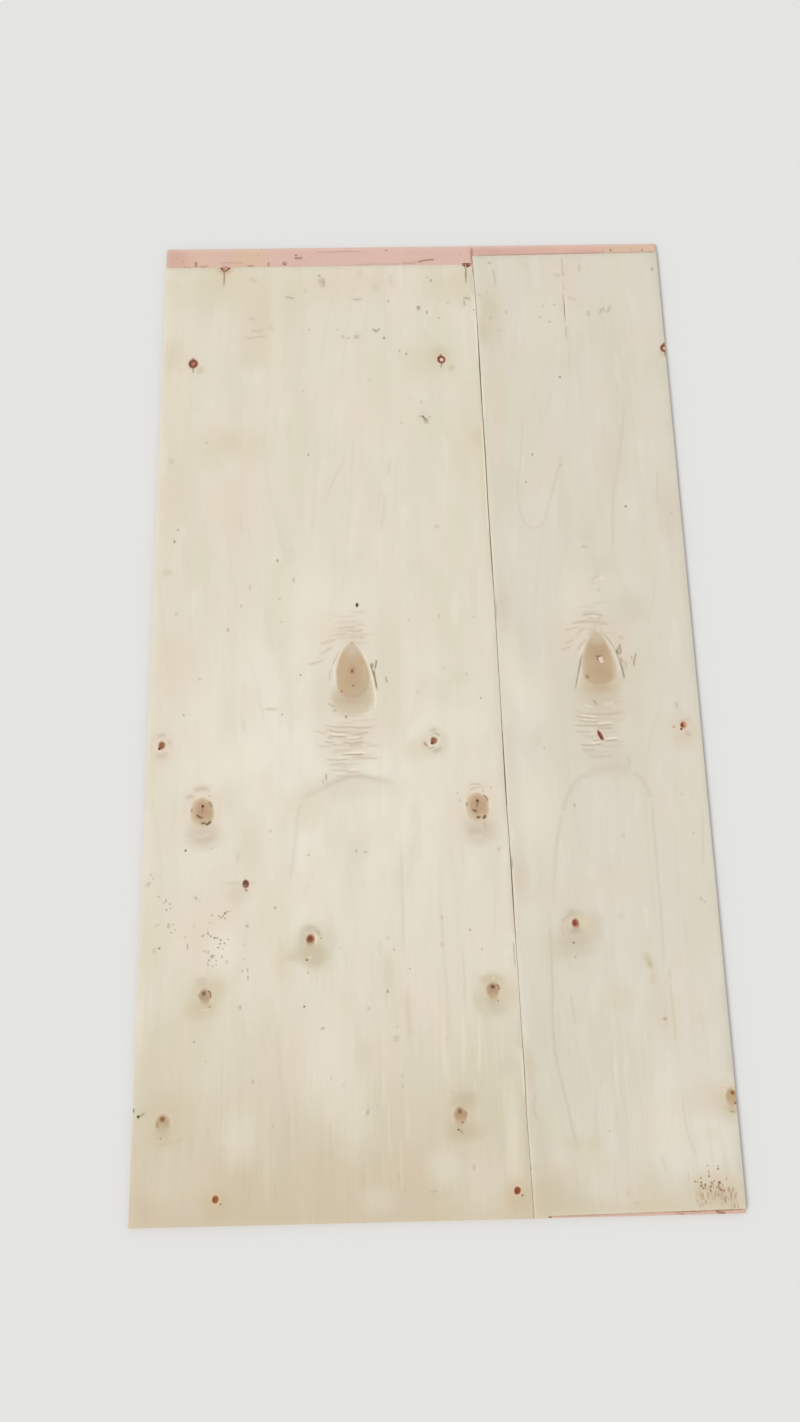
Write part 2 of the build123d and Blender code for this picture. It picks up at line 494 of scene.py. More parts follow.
left_heart = [
    *heart_ground(-157, 0, -40),
    *clouds(dull, [(-157, -10, 150, 240, 219), (-222, -50, 40, 120, 218), (-160, -245, 150, 50, 216)]),
    *clouds(rosy, [(-175, 100, 120, 80, 225), (-160, -130, 130, 90, 224)]),
    *fold_field(-157, -135, 150, 130, 16, 3),
    *fold_field(-157, 115, 140, 70, 8, 5),
    shape([
        (-199, -26), (-201, -52), (-194, -76), (-162, -85), (-130, -81), (-115, -64), (-111, -36), (-112, -8),
        (-156, -10)], 10.0, colour=(205, 190, 163), strength=0.8),
    *strokes(fawn, [
        (3.6, 200, (-180, 66), (-190, 50), (-197, 36), (-202, 22)), (4, 210, (-200, 26), (-205, 8), (-207, -12)),
        (3.4, 198, (-150, 77), (-140, 65), (-127, 45))], depth=0.25),
    *strokes(cream, [
        (4.0, 236, (-160, 86), (-175, 69), (-188, 46), (-195, 16), (-196, -8)),
        (3.6, 240, (-154, 86), (-141, 70), (-128, 46), (-119, 22), (-113, 0), (-108, -26), (-106, -56),
         (-108, -76))], fade=0.1, depth=-fold_rise),
    shape([
        (-157, 79), (-168, 73), (-178, 61), (-186, 43), (-191, 20), (-192, -3), (-189, -22), (-179, -37), (-156, -43),
        (-133, -39), (-122, -21), (-118, 0), (-122, 22), (-131, 43), (-141, 61),
        (-149, 73)], 4.0, colour=heart_wood, depth=0.12),
    spot(-157, -50, 66, 28, soft=0.8, colour=(196, 175, 144), strength=0.8),
    *clouds(rosy, [(-157, 64, 34, 28, 208)], strength=0.7),
    *clouds(olive, [(-157, 78, 20, 20, 208), (-138, -30, 30, 30, 184), (-128, 10, 14, 50, 196)], strength=0.4),
    spot(-156, 0, 30, 46, soft=0.9, colour=(190, 160, 128), strength=0.7),
    *strokes(ruddy, [(6, 190, (-184, -32), (-170, -41), (-154, -43), (-138, -39))], strength=0.5),
    spot(-157, 17, 12, 19, soft=0.7, colour=(174, 145, 112), strength=0.8),
    *dots(brown, [(-157.5, 15, 5.2, 8.6, 126), (-154.5, -17.5, 4.6, 4.6, 146), (-180.5, -31, 4.6, 5.4, 158)],
          depth=0.3),
    *dots(olive, [
        (-171, -89.5, 4.4, 6.4, 168), (-157, 79, 5, 3.4, 166), (-271, 8, 5, 4.4, 174),
        (-113, 27, 8, 12, 172)], depth=0.2),
    *strokes(olive, [
        (3.6, 140, (-110, 20), (-107.5, 2), (-104.5, -16), (-101, -36)), (2.8, 158, (-115, 30), (-112, 14), (-107, -4)),
        (2.6, 136, (-104.5, 41), (-104, 30), (-108, 14)),
        (2.6, 168, (-84, 2), (-82, -6), (-80.5, -15))], fade=0.15, fade_end=0.35, depth=0.4),
    # Folds round the heart: dips with painted shade on their low sides, rises with painted highlights on their high
    # sides
    *painted_shade_troughs([
        (5, 207, (-190, 114), (-170, 116), (-145, 114)), (4, 203, (-164, 108), (-148, 106), (-130, 110)),
        (5, 208, (-216, 90), (-190, 99), (-162, 101)), (5, 210, (-230, 78), (-210, 83), (-188, 92)),
        (5, 208, (-256, 32), (-238, 35), (-216, 46)), (5, 212, (-230, 56), (-214, 62), (-200, 74)),
        (3.6, 200, (-226, -102), (-206, -109), (-185, -112), (-160, -112), (-140, -114), (-98, -110)),
        (3, 190, (-218, -116), (-192, -122), (-160, -124)), (3, 178, (-212, -130), (-190, -133), (-167, -134)),
        (3, 194, (-158, -129), (-139, -127), (-122, -123)), (3, 190, (-166, -139.5), (-148, -139), (-132, -134)),
        (3.2, 192, (-184, -146), (-155, -146.5), (-128, -144)), (3, 203, (-170, -151), (-150, -151), (-134, -148)),
        (3, 205, (-222, -143), (-206, -145), (-192, -146)), (3, 204, (-206, -150), (-186, -152), (-168, -152)),
        (3, 198, (-214, -133), (-206, -136), (-199, -137)),
        (3, 160, (-186, -174.5), (-166, -172), (-148, -172.5), (-128, -172)),
        (3.4, 201, (-218, -182), (-188, -184), (-162, -181)), (3.4, 206, (-160, -179), (-148, -178), (-136, -178)),
        (3.2, 206, (-150, -181), (-128, -181), (-98, -182)), (3.4, 207, (-212, -195), (-187, -193), (-168, -190)),
        (3, 200, (-176, -210), (-155, -210.5), (-136, -209)), (4, 207, (-200, -218), (-162, -219), (-128, -217))]),
    *pale_rims_and_highlight_crests([
        (4, 228, (-196, -103), (-160, -107), (-120, -103)), (3.4, 236, (-210, -124.5), (-190, -127.5), (-168, -128)),
        (3.4, 236, (-168, -134), (-154, -135.5), (-141, -133)), (3, 230, (-166, -142), (-152, -142), (-138, -140)),
        (4.4, 244, (-182, -170), (-156, -167.5), (-127, -169)), (3.4, 240, (-190, -180), (-181, -178), (-171, -176)),
        (4, 236, (-168, -205), (-152, -205), (-136, -206)), (4, 232, (-218, 89), (-200, 94), (-184, 98)),
        (4, 230, (-246, 40), (-230, 43), (-214, 51)), (4, 232, (-140, -86), (-125, -82), (-110, -76)),
        (3, 230, (-225, -97), (-205, -102), (-190, -105))]),
    *strokes(olive, [
        (7, 211, (-170, 97), (-150, 93), (-122, 92)), (3.6, 186, (-215, -212), (-215.5, -230)),
        (3.4, 204, (-221, -226), (-222, -236))]),
    *strokes(dull, [(3.4, 192, (-213, -55), (-204, -61), (-194, -66)), (3.4, 190, (-200, -75), (-189, -73))],
             depth=0.2),
    *strokes(fawn, [
        (6, 212, (-232, -256), (-205, -236), (-178, -225), (-150, -219), (-112, -227), (-84, -236)),
        (4, 214, (-240, -150), (-222, -154), (-200, -153)), (4, 214, (-132, -152), (-112, -155), (-92, -153)),
        (4, 213, (-205, -163), (-180, -163), (-150, -162)), (4, 213, (-214, -205), (-180, -207), (-156, -205)),
        (4, 214, (-210, -124), (-228, -122), (-244, -118))]),
    *strokes(dull, [
        (12, 209, (-272, -274), (-250, -258), (-225, -246), (-190, -229), (-150, -221), (-100, -230), (-60, -239)),
        (8, 211, (-268, -268), (-276, -310), (-282, -370), (-292, -445))], fade=0.1, strength=0.5),
]

left_marks = [
    *clouds(tan, [
        (-360, 900, 120, 120, 212), (-400, 985, 420, 110, 216), (120, 560, 60, 260, 214), (20, 780, 110, 90, 213),
        (60, 798, 40, 44, 196), (-535, -890, 80, 80, 200), (-490, -720, 90, 160, 213), (-75, 40, 60, 240, 214),
        (-20, -165, 60, 50, 214), (-390, 560, 70, 80, 214), (-572, 800, 50, 80, 212), (-255, -280, 70, 90, 216),
        (-390, 800, 60, 60, 214), (90, 985, 120, 90, 213), (-480, 560, 80, 100, 216), (-345, 820, 60, 110, 219),
        (-455, 1015, 100, 80, 218), (128, 1005, 60, 90, 216), (-435, 580, 40, 60, 213), (-90, -632, 24, 80, 213),
        (-245, -1020, 60, 70, 208), (-340, -1085, 100, 50, 204), (-435, -1068, 70, 60, 206), (-490, -880, 70, 60, 215),
        (-140, -790, 30, 50, 214), (143, 580, 30, 36, 206), (-580, -560, 50, 150, 219), (-310, -600, 20, 60, 212),
        (-295, -930, 14, 60, 206), (20, -1080, 120, 40, 209)]),
    *clouds(rosy, [
        (-540, 30, 110, 160, 226), (-130, 1000, 180, 70, 225), (-400, 845, 46, 34, 222), (-470, -545, 130, 160, 228),
        (-569, -165, 50, 66, 226), (-210, -900, 16, 34, 225), (-280, -978, 16, 24, 216), (-100, -790, 60, 60, 225),
        (-55, -700, 30, 90, 223), (-560, 440, 60, 240, 226), (-330, -790, 60, 60, 224), (156, -672, 40, 70, 214),
        (-60, -1070, 90, 50, 212), (-500, -1080, 90, 40, 214), (-420, 400, 90, 200, 226)]),
    *clouds(moss, [
        (-520, -660, 50, 90, 217), (-540, -745, 50, 40, 216), (-30, -835, 60, 60, 213), (-45, -930, 50, 60, 210),
        (85, -5, 50, 36, 216), (0, 520, 90, 220, 217), (147, -818, 36, 30, 205), (152, -905, 34, 22, 201),
        (120, -950, 20, 60, 207), (-70, 760, 90, 260, 219), (-150, -380, 40, 50, 215), (90, 330, 80, 240, 219),
        (110, -900, 16, 50, 206), (-440, -760, 60, 60, 216)]),
    *clouds(milky, [
        (-245, 190, 120, 210, 238), (-465, -140, 70, 170, 236), (-425, -575, 60, 70, 238), (-215, -810, 90, 190, 235),
        (-160, -900, 60, 160, 229), (90, -1030, 150, 120, 226), (150, -940, 30, 160, 233), (-120, -500, 80, 160, 232),
        (75, -100, 80, 70, 235), (-120, -1060, 60, 50, 222), (10, -1000, 60, 60, 228), (-405, -190, 60, 110, 240),
        (-390, -940, 70, 90, 230), (-330, 880, 30, 300, 230)]),
    *clouds(cream, [(-500, -1015, 130, 90, 220), (-560, 660, 40, 200, 228)]),
    *clouds(tan, [
        (157, 560, 26, 560, 211), (-550, -790, 90, 140, 211), (-372, -370, 56, 130, 213), (20, -148, 50, 56, 202),
        (-330, -500, 70, 160, 218), (-300, -610, 40, 100, 216)]),
    *left_heart,

    # Knots that are cut in half by the veneer's back end
    spot(-457, 1040, 40, 30, soft=0.5, colour=(206, 172, 142), strength=0.6),
    spot(-465, 1046, 6, 8, soft=0.4, colour=ruddy(120), depth=0.2),
    spot(-447, 1046, 6, 8, soft=0.4, colour=ruddy(112), depth=0.2),
    line([(-466, 1049), (-463, 1041), (-457, 1036.5), (-450, 1041), (-447, 1049)], 4.2, fade=0.02, colour=ruddy(122),
         depth=0.25),
    shape([(120, 1049), (144, 1049), (139, 1041), (132, 1038), (126, 1041)], 1.6, colour=ruddy(128), depth=0.2,
          step=1.0),
    *strokes(olive, [
        (3.6, 160, (-458.5, 1037), (-458, 1012), (-459.5, 984)),
        (3.8, 150, (130, 1039), (129.3, 1015), (128, 986))], fade=0.03, fade_end=0.6, depth=0.2),

    # Knots with a ring of bark
    *ring_knot(-527, 783, 21, 24, ruddy(128), (176, 118, 92), 9, (17, -18)),
    *ring_knot(62, 785, 19, 22, ruddy(126), (226, 198, 182), 8.4, (24, -22)),

    # Small sound knots above the oval pair
    spot(-569, -148, 44, 62, soft=0.5, colour=rosy(223), strength=0.7),
    *small_knot(
        (-569, -146, 26, 32, 234), (-569, -145, 14.5, 17.5, (148, 92, 58)), (-563, -142, 5, 8, 165),
        (-574, -152, 6.4, 6.4, (88, 52, 32))),
    *small_knot(
        (18, -146, 26, 31, 232), (18, -145, 14.5, 16.5, (143, 90, 60)), (24, -143, 5, 9, 160),
        (14, -151, 6.4, 6.4, (102, 62, 44))),
    *strokes(dull, [
        (6, 203, (-582, -127), (-570, -122), (-558, -125)), (4, 198, (-556, -134), (-553, -143)),
        (11, 208, (-584, -166), (-568, -168), (-553, -164)), (6, 204, (8, -126), (18, -121), (28, -122)),
        (3, 186, (14, -128), (24, -130), (33, -137)), (3.4, 190, (4, -160), (12, -162), (21, -158)),
        (8, 196, (12, -170), (24, -168), (37, -161))]),
    *strokes(ruddy, [(4.4, 178, (-4, -147), (-2, -151), (5, -159))]),

    # Oval pair
    *oval_knot(-477.5, -288, (208, 186, 158), (186, 163, 128)),
    *oval_knot(107, -287.5, (206, 188, 156), (192, 166, 134)),
    *strokes(brown, [
        (3.6, 106, (-489, -297), (-484, -301), (-477, -303.5)), (3.6, 104, (96, -297), (100, -300), (106, -302)),
        (3.8, 104, (-480, -316), (-471, -315.5)), (4, 90, (103, -315), (113, -314)),
        (4.4, 84, (-471, -319), (-466, -317), (-460, -311)),
        (4.6, 84, (116, -317), (120, -315), (124, -310))], fade=0.1, depth=0.3),
    *strokes(brown, [
        (3, 150, (-465, -268), (-461, -274), (-457, -282)),
        (3, 152, (119, -266), (126, -271), (131, -281))], fade=0.2, depth=0.2),
    *dots(brown, [(-500, -288, 5.4, 10, 190), (84, -286, 5, 9.5, 182)]),
    *strokes(fawn, [
        (9, 207, (-502, -248), (-479, -241), (-459, -247)), (8, 208, (-516, -263), (-504, -258), (-494, -254)),
        (3.4, 204, (86, -247), (102, -243), (122, -243)), (3.4, 202, (86, -259), (98, -252), (112, -249), (126, -251)),
        (7, 207, (-496, -345), (-474, -352), (-450, -345)), (9, 205, (84, -337), (100, -343), (117, -339)),
        (4, 202, (151, -377), (146, -389)), (3, 196, (118, -319), (122, -332), (122, -346))]),
    *strokes(cream, [
        (4, 226, (-498, -338), (-478, -343), (-457, -337)), (4, 228, (-506, -255), (-482, -251), (-462, -255)),
        (4, 230, (84, -251), (104, -246), (122, -250)), (4, 226, (88, -352), (104, -355), (120, -351))], strength=0.7),
    *dots(pale_dull, [
        (-464, -258, 4, 4, 188), (120, -257, 4, 4, 186), (137, -250, 4, 4, 190), (66, -262, 5, 5, 200),
        (70, -278, 5, 6, 202), (110, -365, 20, 12, 208)]),

    # Dark knot and the sound knots of the front half
    line([(-442, -441), (-410, -443), (-350, -442)], 6.0, colour=dull(213)),
    spot(-384, -447, 24, 29, soft=0.3, colour=(228, 207, 184), strength=0.7),
    spot(-384, -445.5, 13.8, 17.4, soft=0.22, colour=(110, 60, 40), depth=0.22, step=0.8),
    spot(-386, -443, 6, 8, colour=(84, 44, 30), strength=0.8, depth=0.1),
    spot(-383, -458, 6, 4.4, colour=ruddy(158)),
    *clouds(fawn, [(-400, -466, 44, 36, 210)], strength=0.5),
    *sound_knot(-249, -561, (18, 22), (164, 108, 74), (-249.5, -560, 11, 14), (118, 64, 38), 30),
    *sound_knot(-463, -670, (22, 31), (174, 144, 112), (-464.5, -664, 8.6, 9), (104, 62, 38), 31),
    *sound_knot(123, -669, (25, 33), (180, 150, 118), (123, -662, 8.8, 9), (110, 66, 42), 33),
    *sound_knot(-540, -912, (28, 36), (189, 161, 122), (-541, -903, 10, 10.5), (138, 98, 62), 38),
    *sound_knot(48.5, -908, (25, 32), (181, 148, 114), (48, -900, 9.4, 10.6), (124, 78, 50), 36),
    *clouds(tan, [
        (-480, -697, 44, 34, 209), (-246, -590, 66, 36, 202), (-238, -600, 40, 40, 205), (-536, -940, 50, 30, 210),
        (-540, -925, 28, 24, 196), (60, -880, 50, 34, 198), (-440, -654, 40, 40, 212), (120, -648, 40, 18, 203),
        (55, -938, 60, 34, 199)], strength=0.8),
    *clouds(dull, [
        (-250, -538, 24, 12, 200), (-233, -592, 16, 28, 200), (-285, -596, 28, 14, 208), (-266, -562, 12, 36, 206),
        (-470, -640, 22, 16, 203), (130, -705, 34, 24, 204), (-210, -560, 26, 36, 216),
        (95, -690, 20, 30, 209)], strength=0.85),
    *strokes(olive, [
        (5, 194, (-241, -544), (-233, -546), (-228, -556)), (3, 170, (-472, -676), (-475, -668), (-474, -662)),
        (3, 172, (115, -672), (113, -665), (116, -658))]),
    *pale_rims_and_highlight_crests([
        (4, 230, (-240, -550), (-236, -560), (-239, -571)), (3, 224, (-472, -696), (-461, -697), (-450, -695)),
        (3, 226, (125, -650), (126, -643)), (3.4, 230, (-253, -597), (-247, -596))]),
    *strokes(brown, [
        (3.4, 172, (-550, -905), (-552, -914), (-548, -922)), (3.6, 172, (58, -900), (60, -906), (59, -912))]),
    *strokes(ruddy, [
        (3, 146, (-459, -659), (-453, -663), (-451.5, -674)),
        (2.8, 152, (130, -658.5), (135, -662), (136, -670))], fade=0.15, depth=0.12),
    *strokes(tan, [
        (3.4, 213, (84, -664), (88, -690), (100, -712), (124, -724)),
        (4, 205, (-575, -944), (-540, -950), (-505, -942), (-488, -925))]),
    *dots(brown, [
        (-453, -691, 5.4, 5, 188), (133, -690, 4.4, 4.4, 180), (-543, -939, 4.4, 4.4, 184), (52, -921, 5.4, 4, 152),
        (-227, -559, 4, 4, 190)]),
    *dots(olive, [(-256, -601.5, 4.4, 4.4, 130), (43.5, -935, 4.4, 4.4, 122), (-254, -627, 3.4, 6, 195)]),
    *strokes(olive, [
        (3, 165, (45, -936), (49, -938), (52, -942)), (3.4, 168, (-586, -897), (-581, -894), (-576, -891))], fade=0.1),
    spot(-588.5, -897.5, 5.4, 6.4, lean=30, colour=(88, 80, 54), depth=0.1),
    spot(-598.5, -885, 4, 9, colour=olive(120), strength=0.8),
    *edge_knot(-433, -1052, (146, 90, 46)),
    *edge_knot(155, -1049, (134, 76, 40)),
    *dots(olive, [(-423, -1061, 4.2, 4, 152), (165, -1058, 5, 4.4, 150)]),

    # Stray marks of the face, from the back to the front
    *dots(pale_dull, [
        (-228, 1020, 7, 7, 180), (-61, 946, 5, 4.6, 162), (83, 940, 5, 5, 196), (-260, 978, 6, 14, 203),
        (32, 914, 7, 12, 188), (43, 1002, 7, 10, 183), (33, 1012, 6, 6, 196), (146, 918, 5, 5, 184),
        (60, 898, 4.4, 4.4, 170), (-98, 868, 6, 8, 188), (-92, 865, 10, 7, 169), (-85, 869, 5, 9, 186),
        (-73, 846, 6, 9, 171), (-139, 849, 14, 12, 195), (-37, 809, 5, 7, 186), (-252, 870, 6, 6, 203),
        (-183, 870, 6, 6, 203), (-112, 732, 5, 5, 203), (-267, 706, 5, 5, 203), (32, 634, 4.4, 4.4, 178),
        (12, 672, 6, 12, 205), (-158, 846, 10, 7, 204), (-172, 850, 10, 10, 202), (-490, 575, 10, 4, 196),
        (-570, 528, 14, 16, 207), (-550, 357, 6, 6, 190), (-253, 540, 4.4, 7, 168), (-35, 618, 5, 5, 194),
        (40, 355, 12, 10, 205), (-318, 186, 6, 8, 202), (-403, 170, 5, 8, 196), (-548, 155, 5, 8, 200),
        (-432, 115, 6.5, 11, 195), (-313, 131, 5, 5, 202), (-384, 215, 5, 18, 206), (-570, 253, 24, 16, 209),
        (-287, 231, 8, 14, 203), (-30, 132, 6, 6, 205), (37, 140, 6, 14, 204), (116, 137, 4.4, 4.4, 198),
        (-15, -35, 5, 8, 204), (-524, -78.5, 4, 5, 176), (-491, 2, 8, 5, 202), (-310, -81, 4.4, 4.4, 188),
        (-335, -68, 30, 8, 211), (93, 3, 6, 8, 203), (123, -52, 3.6, 5.4, 172), (46, 18, 5, 5, 205),
        (-253, -388, 6, 4.4, 192), (-151, -380, 5, 8, 188), (-133, -383, 10, 6, 200), (-77, -585, 5, 4.4, 191),
        (-45, -624, 4, 4.4, 188), (-131, -700, 8, 8, 204), (-188, -578, 4, 4, 203), (-223, -737, 8.4, 6, 194),
        (-73, -737, 8, 8, 206), (-75, -760, 11, 13, 199), (-41, -749, 4, 6, 202), (-88, -562, 6, 10, 209),
        (81, -548, 4.6, 4.6, 174), (24, -523, 6, 11, 198), (22, -577, 8, 11, 204), (105, -588, 4, 4.4, 196),
        (28, -762, 5, 5, 202), (-391, -693, 5.4, 10, 193), (-471, -715, 4.4, 12, 204), (-483, -757, 4.4, 4.4, 182),
        (-475, -915, 11, 13, 206), (-363, -836, 8, 10, 196), (-458, -796, 4, 4, 200), (-323, -920, 3.4, 6.4, 188),
        (-207, -833, 5, 5, 205), (-182, -847, 9, 9, 212), (-115, -888, 3.4, 8, 198), (-64, -830, 4, 13, 198),
        (-64, -850, 4, 10, 192), (-76, -1020, 3.4, 17, 188), (-65, -1040, 3.4, 9, 192), (-49, -1008, 4, 16, 199),
        (-60, -985, 4, 8, 199), (-100, -966, 4, 12, 203), (34, -865, 7, 6.4, 200), (72, -1005, 4.4, 11, 193),
        (103, -1001, 4, 4, 200), (80, -1018, 4, 4, 202), (-8, -1047, 17, 5.4, 190), (-569, -577, 9, 12, 203),
        (-565, -526, 13, 6, 207), (-507, -551, 5, 6.4, 204), (-501, -570, 4.4, 11, 182), (-455, -523, 5, 5, 205),
        (-489, -527, 4, 8, 205), (-379, -531, 7, 7, 188), (-386, -570, 4, 7, 205), (-376, -636, 4, 11, 190),
        (-377, -620, 3.6, 9, 186), (-388, -621, 4, 4.6, 184), (-386, -597, 3.6, 4, 200), (163, 271, 4.6, 5, 144),
        (-564, -468, 4, 4, 180), (-548, -475, 4.4, 6.4, 180), (-547, -494, 4, 4, 160), (-552, -480, 3.4, 3.4, 180),
        (-540, -483, 5, 4, 182), (-538, -492, 3.4, 3.4, 176), (-577, -430, 5, 5, 200), (-581, -422, 5, 5, 202),
        (-321, -495, 4.4, 6.4, 172), (-457, -369, 3.4, 3.4, 188), (-333, -335, 6, 8, 207)]),
    *dots(lighter(olive, 6), [
        (-557.5, 328, 4.4, 7.4, 158), (-323, 278, 5.4, 8.4, 172), (-20, 801, 4.4, 5.4, 148), (-91, -667.5, 4, 7.4, 166),
        (-261, -694, 5, 5, 150), (-559, -573, 4.4, 5.4, 148), (-510.5, -372, 4.6, 5.2, 130)], depth=0.1),
    *dots(rosy, [(12, 927, 9, 12, 184)]),
    *clouds(ruddy, [(-222, 1003, 14, 22, 186)]),
    *strokes(fawn, [
        (6, 208, (-412, 847), (-380, 852), (-348, 855)), (7, 210, (-396, 872), (-374, 868), (-360, 879)),
        (5, 210, (-350, 888), (-338, 870)), (7, 211, (-400, 905), (-378, 900)),
        (4.4, 186, (-312, 963), (-298, 960), (-286, 955))]),
    spot(-145, 168, 6.8, 10.4, soft=0.2, colour=(88, 78, 56), depth=0.3, step=0.8),
    *strokes(dull, [
        (10, 210, (-398, 1018), (-388, 1010), (-378, 1003)),
        (5, 190, (-223, 1013), (-216, 1003), (-218, 991), (-225, 987)), (5, 197, (-152, 955), (-137, 953), (-121, 955)),
        (5, 178, (117, 952), (128, 952), (141, 952)), (4, 180, (122, 949), (122, 940), (124, 929)),
        (5, 196, (-590, -446), (-586, -441), (-582, -437)), (4.4, 188, (-489, -467), (-487, -471), (-483, -476)),
        (5, 204, (-272, -1012), (-268, -1025), (-264, -1037)), (4.4, 186, (-133, -892), (-135, -898), (-139, -905))]),
    *strokes(dull, [
        (12, 208, (-130, 1042), (-130, 1008)), (14, 206, (-94, 1004), (-92, 968)), (12, 208, (-53, 1032), (-53, 978)),
        (6, 213, (-220, 400), (-200, 460), (-180, 500), (-165, 542)), (8, 209, (-66, 527), (-67, 478)),
        (6, 210, (-78, 442), (-82, 395), (-90, 338)), (5, 209, (-406, 402), (-406, 348)),
        (6, 213, (-108, -560), (-106, -602)), (9, 213, (-393, -83), (-393, -122)), (6, 208, (-401, -373), (-401, -402)),
        (5, 208, (-57, -345), (-57, -430), (-57, -530), (-57, -640)), (7, 205, (-52, -655), (-50, -720), (-47, -790)),
        (7, 208, (-318, -700), (-311, -800), (-303, -900), (-292, -945), (-280, -980)),
        (6, 212, (20, -420), (24, -560), (30, -700), (28, -840)),
        (4, 206, (62, -560), (66, -640), (64, -720))], strength=0.5),
    *strokes(olive, [(4.6, 132, (11, 638), (15, 634), (20, 627))], fade=0.1, depth=0.2),
    *strokes(cream, [
        (5, 231, (-212, 410), (-192, 465), (-172, 505), (-158, 542)), (5, 232, (-215, 105), (-202, 128), (-180, 145)),
        (4, 234, (-142, -894), (-144, -903)), (4, 230, (-88, -674), (-86, -702)), (4, 232, (-249, 547), (-249, 533)),
        (6, 230, (22, -700), (20, -780), (24, -860)), (6, 230, (58, -690), (60, -770), (56, -850)),
        (6, 230, (90, -700), (92, -770), (88, -850))], strength=0.8),
    *strokes(cream, [
        (5, 226, (-92, -860), (-94, -930), (-90, -1000)), (5, 222, (-72, -940), (-70, -1000), (-72, -1060)),
        (5, 228, (-104, -800), (-102, -850), (-104, -900)), (5, 222, (90, -1040), (90, -1090)),
        (5, 226, (-58, -860), (-56, -910), (-58, -960))], strength=0.5),
    *dots(lighter(fawn, 13), [
        (-452, -508, 4, 3.6, 172), (-434, -513, 4.4, 3.6, 158), (-426, -504, 5, 5, 144), (-422, -501, 3.6, 3.6, 150),
        (-430, -510, 4, 4, 152), (-438, -509, 3.4, 3.4, 160), (-426, -514, 3.4, 3.4, 152), (-416, -500, 3, 3, 176),
        (-471, -550, 4, 4, 152), (-467, -547, 3, 3, 174), (-460, -545, 4, 5, 172), (-454, -551, 4.4, 5, 160),
        (-446, -554, 6, 5, 162), (-440, -554, 5, 3.6, 160), (-433, -558, 5, 4, 158), (-434, -566, 5, 4, 172),
        (-425, -565, 4.4, 4.4, 170), (-438, -574, 5, 3.6, 177), (-428, -576, 3.4, 3, 184), (-458, -582, 5, 7, 186),
        (-450, -591, 7, 8, 174), (-456, -598, 4, 4, 154), (-466, -580, 6, 4, 190), (-430, -592, 4.4, 6, 186),
        (-420, -602, 4.4, 7, 191), (-457, -608, 4, 5, 190), (-449, -610, 4, 4, 186), (-541, -529, 7, 9, 187),
        (-532, -525, 3.6, 4, 168), (-528, -536, 3.4, 3.4, 172), (-535, -541, 4, 3.4, 168),
        (-542, -524, 3, 3, 180)], soft=0.4, step=0.8),
    *specks(-443, -560, 60, 80, 6, 23),
    *specks(-438, -598, 50, 30, 4, 24),

    # Pale rims of the joint, and the second crack beside it
    *along_joint(cream, [
        (960, 880, 3, 232), (905, 780, 3.4, 238), (625, 340, 3, 236), (-560, -640, 3, 232),
        (-785, -880, 3, 232)], 0, -2.4),
    *along_joint(dull, [(-568, -630, 3, 193)], 0, -5.0),
]

# Marks of the right veneer

